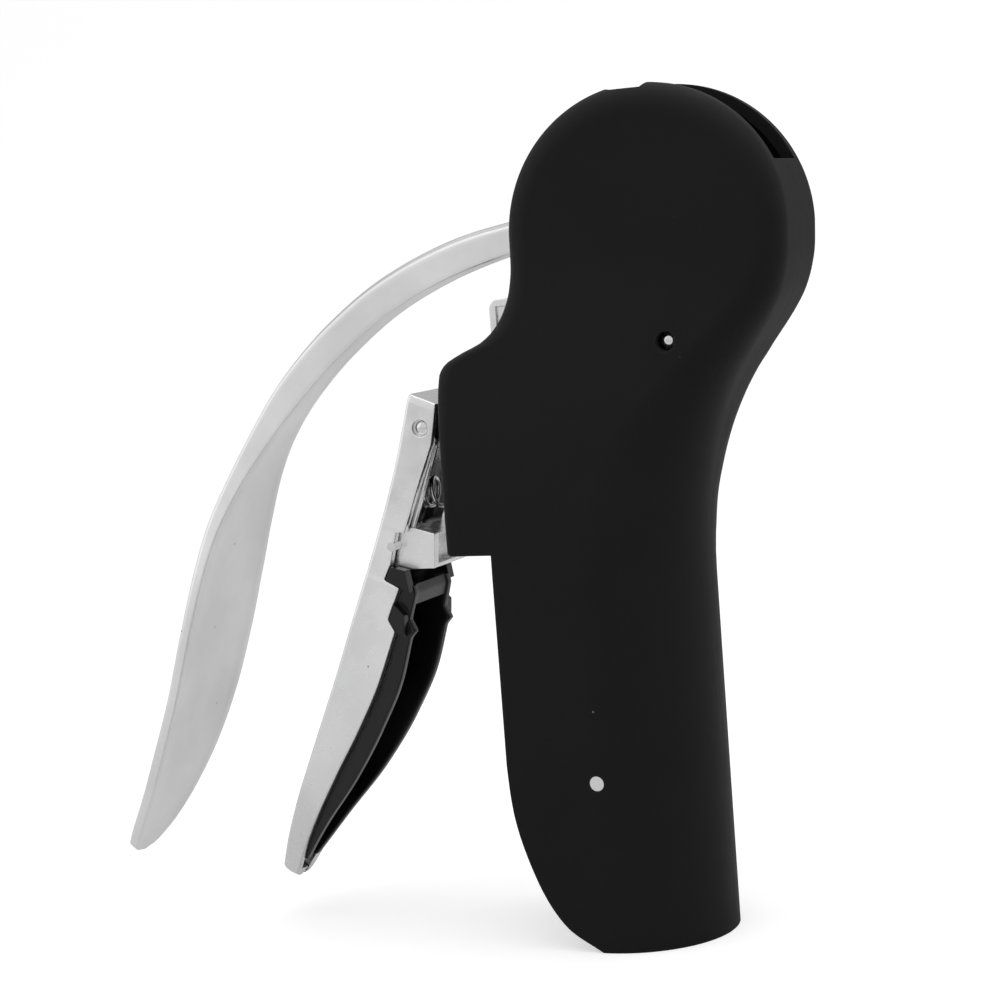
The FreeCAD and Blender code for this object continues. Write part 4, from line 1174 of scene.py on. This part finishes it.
@dataclass(frozen=True)
class ClampLiner:
    """The black rubber trough in the handle, with its thick collar and lips."""

    shape: Channel = Channel()
    inset: float = 1.93
    floor: float = 1.33
    wall: float = 2.0
    thick: float = 1.3
    top: float = 51.3
    hollow: float = 45.8
    bottom: float = -16.6
    front: Tuple[Point, ...] = (
        (-74.8, 11.4), (-67.9, 20.0), (-58.4, 31.0), (-51.0, 41.7), (-45.4, 52.0), (-42.4, 61.0),
        (-41.0, 62.5),
        (-42.2, 65.0), (-40.6, 70.2), (-41.2, 73.2))
    lips: Tuple[Tuple[Point, ...], ...] = (
        ((-46.2, 73.5), (-44.8, 76.2), (-41.6, 75.4), (-40.9, 70.9), (-43.0, 72.0)),
        ((-45.9, 65.5), (-44.8, 63.2), (-42.6, 61.8), (-42.2, 66.2), (-44.4, 68.6)))

    def build(self, wardrobe: Wardrobe) -> None:
        """Loft the trough with its lips and put it in place of the CAD liner.

        Args:
            wardrobe: puts the finish on the liner.
        """
        heights = np.linspace(self.top, self.bottom, 170)
        backs = self.shape.back_depth(heights) + self.floor
        fronts = self.shape.edge_depth(self.front, heights, 6)
        rings = []
        for height, back, front in zip(heights, backs, fronts):
            reach = max(front - back, 0.6)
            _, z = self.shape.lean_out(np.array([back + reach * 0.5]), height)
            half = max(float(self.shape.half_width(z)[0]) - self.inset, 0.9)
            above = min(max((height - self.hollow) / 1.2, 0.0), 1.0)
            web = self.thick + (reach - self.thick) * above
            ring = Channel.ring(back, back + reach, half, self.wall, web, 0.8)
            x, z_ring = self.shape.lean_out(ring[:, 0], height)
            rings.append(np.stack([x, ring[:, 1], z_ring], -1))
        trough = MeshKit.loft("clamp_rubber", np.array(rings))
        pieces = [trough]
        for lip in self.lips:
            middle = float(self.shape.half_width(np.array([np.mean([z for _, z in lip])]))[0])
            for side in (-1, 1):
                low, high = sorted((side * (middle - 2.4), side * (middle + 0.12)))
                pieces.append(MeshKit.prism(lip, low, high))
        trough = MeshKit.join(pieces, "clamp_rubber")
        wardrobe.dress(trough, ["clamp_liner"], "clamp", 38.0)


# ---------------------------------------------------------------- swept wires
class SweepTree:
    """A Geometry Nodes tree that sweeps a round wire along an object's own path."""

    def __init__(self, material: bpy.types.Material) -> None:
        """Build the tree once, for one material."""
        self.tree = bpy.data.node_groups.new("wire_sweep", "GeometryNodeTree")
        face = self.tree.interface
        face.new_socket("Geometry", in_out="INPUT", socket_type="NodeSocketGeometry")
        self.radius = face.new_socket("Wire Radius", in_out="INPUT", socket_type="NodeSocketFloat").identifier
        self.sides = face.new_socket("Wire Sides", in_out="INPUT", socket_type="NodeSocketInt").identifier
        face.new_socket("Geometry", in_out="OUTPUT", socket_type="NodeSocketGeometry")
        nodes, links = self.tree.nodes, self.tree.links
        start, end = nodes.new("NodeGroupInput"), nodes.new("NodeGroupOutput")
        circle = nodes.new("GeometryNodeCurvePrimitiveCircle")
        sweep = nodes.new("GeometryNodeCurveToMesh")
        real = nodes.new("GeometryNodeRealizeInstances")
        paint = nodes.new("GeometryNodeSetMaterial")
        sweep.inputs["Fill Caps"].default_value = True
        paint.inputs["Material"].default_value = material
        links.new(start.outputs["Wire Radius"], circle.inputs["Radius"])
        links.new(start.outputs["Wire Sides"], circle.inputs["Resolution"])
        links.new(start.outputs["Geometry"], sweep.inputs["Curve"])
        links.new(circle.outputs["Curve"], sweep.inputs["Profile Curve"])
        if "Scale" in sweep.inputs:
            taper = nodes.new("GeometryNodeInputRadius")
            links.new(taper.outputs["Radius"], sweep.inputs["Scale"])
        links.new(sweep.outputs["Mesh"], real.inputs["Geometry"])
        links.new(real.outputs["Geometry"], paint.inputs["Geometry"])
        links.new(paint.outputs["Geometry"], end.inputs["Geometry"])

    def sweep(self, name: str, path: np.ndarray, radii: np.ndarray, wire: float,
              sides: int) -> bpy.types.Object:
        """Sweep a wire along a path and return it as a plain mesh.

        Args:
            name: the piece's name.
            path: points in millimetres.
            radii: share of the wire's radius at each point.
            wire: wire radius in millimetres.
            sides: points round the wire.

        Returns:
            The swept wire, with no modifier left.
        """
        curve = bpy.data.curves.new(name + "_path", "CURVE")
        curve.dimensions = "3D"
        spline = curve.splines.new("POLY")
        spline.points.add(len(path) - 1)
        flat = np.concatenate([path * MM, np.ones((len(path), 1))], 1)
        spline.points.foreach_set("co", flat.ravel())
        spline.points.foreach_set("radius", radii)
        holder = bpy.data.objects.new(name + "_path", curve)
        bpy.context.scene.collection.objects.link(holder)
        modifier = holder.modifiers.new("sweep", "NODES")
        modifier.node_group = self.tree
        modifier[self.radius] = wire * MM
        modifier[self.sides] = sides
        bpy.context.view_layer.update()
        graph = bpy.context.evaluated_depsgraph_get()
        mesh = bpy.data.meshes.new_from_object(holder.evaluated_get(graph))
        piece = bpy.data.objects.new(name, mesh)
        bpy.context.scene.collection.objects.link(piece)
        bpy.data.objects.remove(holder)
        return piece


@dataclass(frozen=True)
class Wires:
    """The pointed worm and the clamp's compression spring."""

    pitch: float = 8.5
    coil: float = 2.9
    wire: float = 1.42
    bottom: float = 62.0
    top: float = 103.0
    spring_start: float = -42.75
    spring_end: float = -31.5
    spring_z: float = 90.4
    spring_coil: float = 2.98
    spring_wire: float = 0.44
    spring_turns: float = 5.4

    def worm_path(self) -> Tuple[np.ndarray, np.ndarray]:
        """The worm's helix, drawn to a point at its lower end, and its radius shares.

        Returns:
            Points in millimetres, and the share of the wire's radius at each.
        """
        z = np.linspace(self.bottom, self.top, 420)
        turn = 2 * math.pi * (z - self.bottom) / self.pitch
        path = np.stack([self.coil * np.cos(turn), self.coil * np.sin(turn), z], -1)
        shares = np.clip((z - self.bottom) / 5.0, 0.0, 1.0) ** 0.7 * 0.95 + 0.05
        return path, shares

    def spring_path(self) -> Tuple[np.ndarray, np.ndarray]:
        """The spring along X: open in the middle and closed at its ends.

        Returns:
            Points in millimetres, and the share of the wire's radius at each.
        """
        share = np.linspace(0.0, 1.0, 360)
        ease = share + 0.09 * np.sin(4 * math.pi * share) / 2
        turn = 2 * math.pi * self.spring_turns * share
        x = self.spring_start + (self.spring_end - self.spring_start) * ease
        path = np.stack([x, self.spring_coil * np.cos(turn),
                         self.spring_z + self.spring_coil * np.sin(turn)], -1)
        return path, np.ones(len(share))

    def build(self, wardrobe: Wardrobe) -> None:
        """Sweep both wires; the worm gets its shank and collar.

        Args:
            wardrobe: puts the finish on each wire.
        """
        tree = SweepTree(wardrobe.materials["spring_steel"])
        spring = tree.sweep("spring_wire", *self.spring_path(), self.spring_wire, 12)
        wardrobe.dress(spring, ["clamp_spring"], "body", 50.0)
        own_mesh(spring)
        coil = tree.sweep("worm_wire", *self.worm_path(), self.wire, 20)
        shank = self.turned([(0.0, 103.0), (2.5, 103.0), (2.5, 118.0), (2.2, 118.2), (0.0, 118.2)])
        collar = self.turned([(0.0, 101.5), (4.2, 101.5), (4.6, 101.9), (4.6, 106.6), (4.3, 106.95),
                              (0.0, 106.95)])
        worm = MeshKit.join([coil, shank, collar], "worm_steelwork")
        wardrobe.dress(worm, ["worm"], "worm_assembly", 40.0)

    @staticmethod
    def turned(outline: Sequence[Point]) -> bpy.types.Object:
        """A solid of revolution about the worm's axis, from (radius, z) points.

        Args:
            outline: points that start and end on the axis.

        Returns:
            The closed solid.
        """
        piece = MeshKit.lathe("turned", outline, 0.0, 0.0)
        piece.data.transform(Matrix.Rotation(math.radians(90.0), 4, "X"))
        MeshKit.face_outward(piece)
        return piece


# ---------------------------------------------------------------- pins
@dataclass(frozen=True)
class Pins:
    """The two domed pins whose ends show on the outside."""

    def domed(self, name: str, radius: float, half: float, rise: float, at: Point) -> bpy.types.Object:
        """A pin along Y with evenly domed ends and a small dimple in each.

        Args:
            name: the pin's name.
            radius: its radius.
            half: half its length.
            rise: height of each dome.
            at: its place along X and Z.

        Returns:
            The closed solid.
        """
        dome = [(radius * math.sin(a), half - rise + rise * math.cos(a)) for a in np.linspace(0.12, 1.57, 12)]
        side = [(0.0, half - 0.06)] + dome
        outline = side + [(r, -y) for r, y in side[::-1]]
        return MeshKit.lathe(name, outline, *at)

    def build(self, wardrobe: Wardrobe) -> None:
        """The gear axle and the clamp's pivot pin.

        Args:
            wardrobe: puts the finish on each pin.
        """
        axle = self.domed("axle_ends", 1.6, 14.9, 0.85, (20.0, 119.5))
        wardrobe.dress(axle, ["gear_axle"], "body", 50.0)
        pivot = self.domed("clamp_pivot", 1.5, 9.0, 0.7, (-36.4, 104.3))
        wardrobe.dress(pivot, ["clamp_pin"], "body", 50.0)


# ---------------------------------------------------------------- studio
@dataclass(frozen=True)
class Studio:
    """Pale floor and backdrop, soft lights and the camera."""

    azimuth: float = 24.0
    elevation: float = 6.0
    roll: float = 4.37
    lens: float = 90.0
    eye: Tuple[float, float, float] = (0.18308, -0.46517, 0.14166)
    ambient: float = 0.74
    floor_reach: float = 14000.0
    floor_bend: float = 800.0
    floor_drop: float = -0.05
    floor_strips: int = 40
    rise_depth: float = 900.0
    rise_height: float = 1500.0

    def camera(self) -> None:
        """Stand the camera at the viewing angle, rolled a little."""
        a, e, roll = (math.radians(v) for v in (self.azimuth, self.elevation, self.roll))
        back = Vector((math.sin(a) * math.cos(e), -math.cos(a) * math.cos(e), math.sin(e)))
        level = Vector((math.cos(a), math.sin(a), 0.0))
        upright = Vector((-math.sin(a) * math.sin(e), math.cos(a) * math.sin(e), math.cos(e)))
        right = level * math.cos(roll) - upright * math.sin(roll)
        up = level * math.sin(roll) + upright * math.cos(roll)
        data = bpy.data.cameras.new("view")
        data.lens, data.sensor_width, data.clip_start = self.lens, 36.0, 0.01
        camera = bpy.data.objects.new("view", data)
        bpy.context.scene.collection.objects.link(camera)
        turn = Matrix((right, up, back)).transposed().to_4x4()
        camera.matrix_world = Matrix.Translation(Vector(self.eye)) @ turn
        bpy.context.scene.camera = camera

    def area(self, name: str, place: Tuple[float, float, float], size: Point, power: float) -> None:
        """One soft rectangular light aimed at the middle of the object.

        Args:
            name: the light's name.
            place: where it stands, in metres.
            size: its width and height, in metres.
            power: its power in watts.
        """
        data = bpy.data.lights.new(name, "AREA")
        data.shape, data.size, data.size_y, data.energy = "RECTANGLE", size[0], size[1], power
        light = bpy.data.objects.new(name, data)
        light.location = place
        aim = Vector((-0.02, 0.0, 0.085)) - Vector(place)
        light.rotation_euler = aim.to_track_quat("-Z", "Y").to_euler()
        bpy.context.scene.collection.objects.link(light)

    def floor(self) -> None:
        """A pale matt sweep: floor curving up behind the object."""
        reach, bend, drop, rows = self.floor_reach, self.floor_bend, self.floor_drop, []
        for k in range(self.floor_strips + 1):
            share = k / self.floor_strips
            if share < 0.5:
                rows.append((-reach + 2 * (reach + bend) * share, drop))
            else:
                turn = (share - 0.5) * math.pi
                rows.append((bend + self.rise_depth * math.sin(turn),
                             drop + self.rise_height * (1 - math.cos(turn))))
        points = [(x, y, z) for y, z in rows for x in (-reach, reach)]
        faces = [(2 * k, 2 * k + 1, 2 * k + 3, 2 * k + 2) for k in range(self.floor_strips)]
        sweep = MeshKit.make("sweep", np.array(points), faces)
        graph = Graph("paper")
        grain = graph.noise(900.0, 3.0)
        color = graph.mix(grain, (0.66, 0.66, 0.66, 1.0), (0.69, 0.69, 0.69, 1.0))
        graph.put(graph.shader.inputs["Base Color"], color)
        graph.shader.inputs["Roughness"].default_value = 0.9
        graph.shader.inputs["Specular IOR Level"].default_value = 0.1
        graph.shader.inputs["Emission Color"].default_value = (1.0, 1.0, 1.0, 1.0)
        seen = graph.tree.nodes.new("ShaderNodeLightPath").outputs["Is Camera Ray"]
        graph.put(graph.shader.inputs["Emission Strength"], graph.math("MULTIPLY", seen, 0.5))
        sweep.data.materials.append(graph.material)
        MeshKit.shade(sweep)

    def build(self) -> None:
        """Set the world, the lights, the floor and the camera."""
        world = bpy.data.worlds.new("room")
        world.use_nodes = True
        sky = world.node_tree.nodes["Background"]
        sky.inputs["Color"].default_value = (1.0, 1.0, 1.0, 1.0)
        sky.inputs["Strength"].default_value = self.ambient
        bpy.context.scene.world = world
        self.area("overhead", (0.05, -0.05, 0.9), (1.2, 1.0), 2.9)
        self.area("left", (-0.8, -0.45, 0.4), (1.0, 1.1), 1.2)
        self.area("right", (0.65, 0.3, 0.4), (0.4, 0.8), 0.6)
        self.floor()
        self.camera()
        bpy.context.scene.view_settings.view_transform = "Standard"


def main() -> None:
    """Dress the CAD frame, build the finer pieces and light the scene."""
    logging.basicConfig(level=logging.INFO, format="%(name)s: %(message)s")
    wardrobe = Wardrobe()
    wardrobe.dress_frame()
    Casing().build(wardrobe)
    PullLever().build(wardrobe)
    ClampHandle().build(wardrobe)
    ClampLiner().build(wardrobe)
    Wires().build(wardrobe)
    Pins().build(wardrobe)
    Studio().build()


if __name__ == "__main__":
    main()
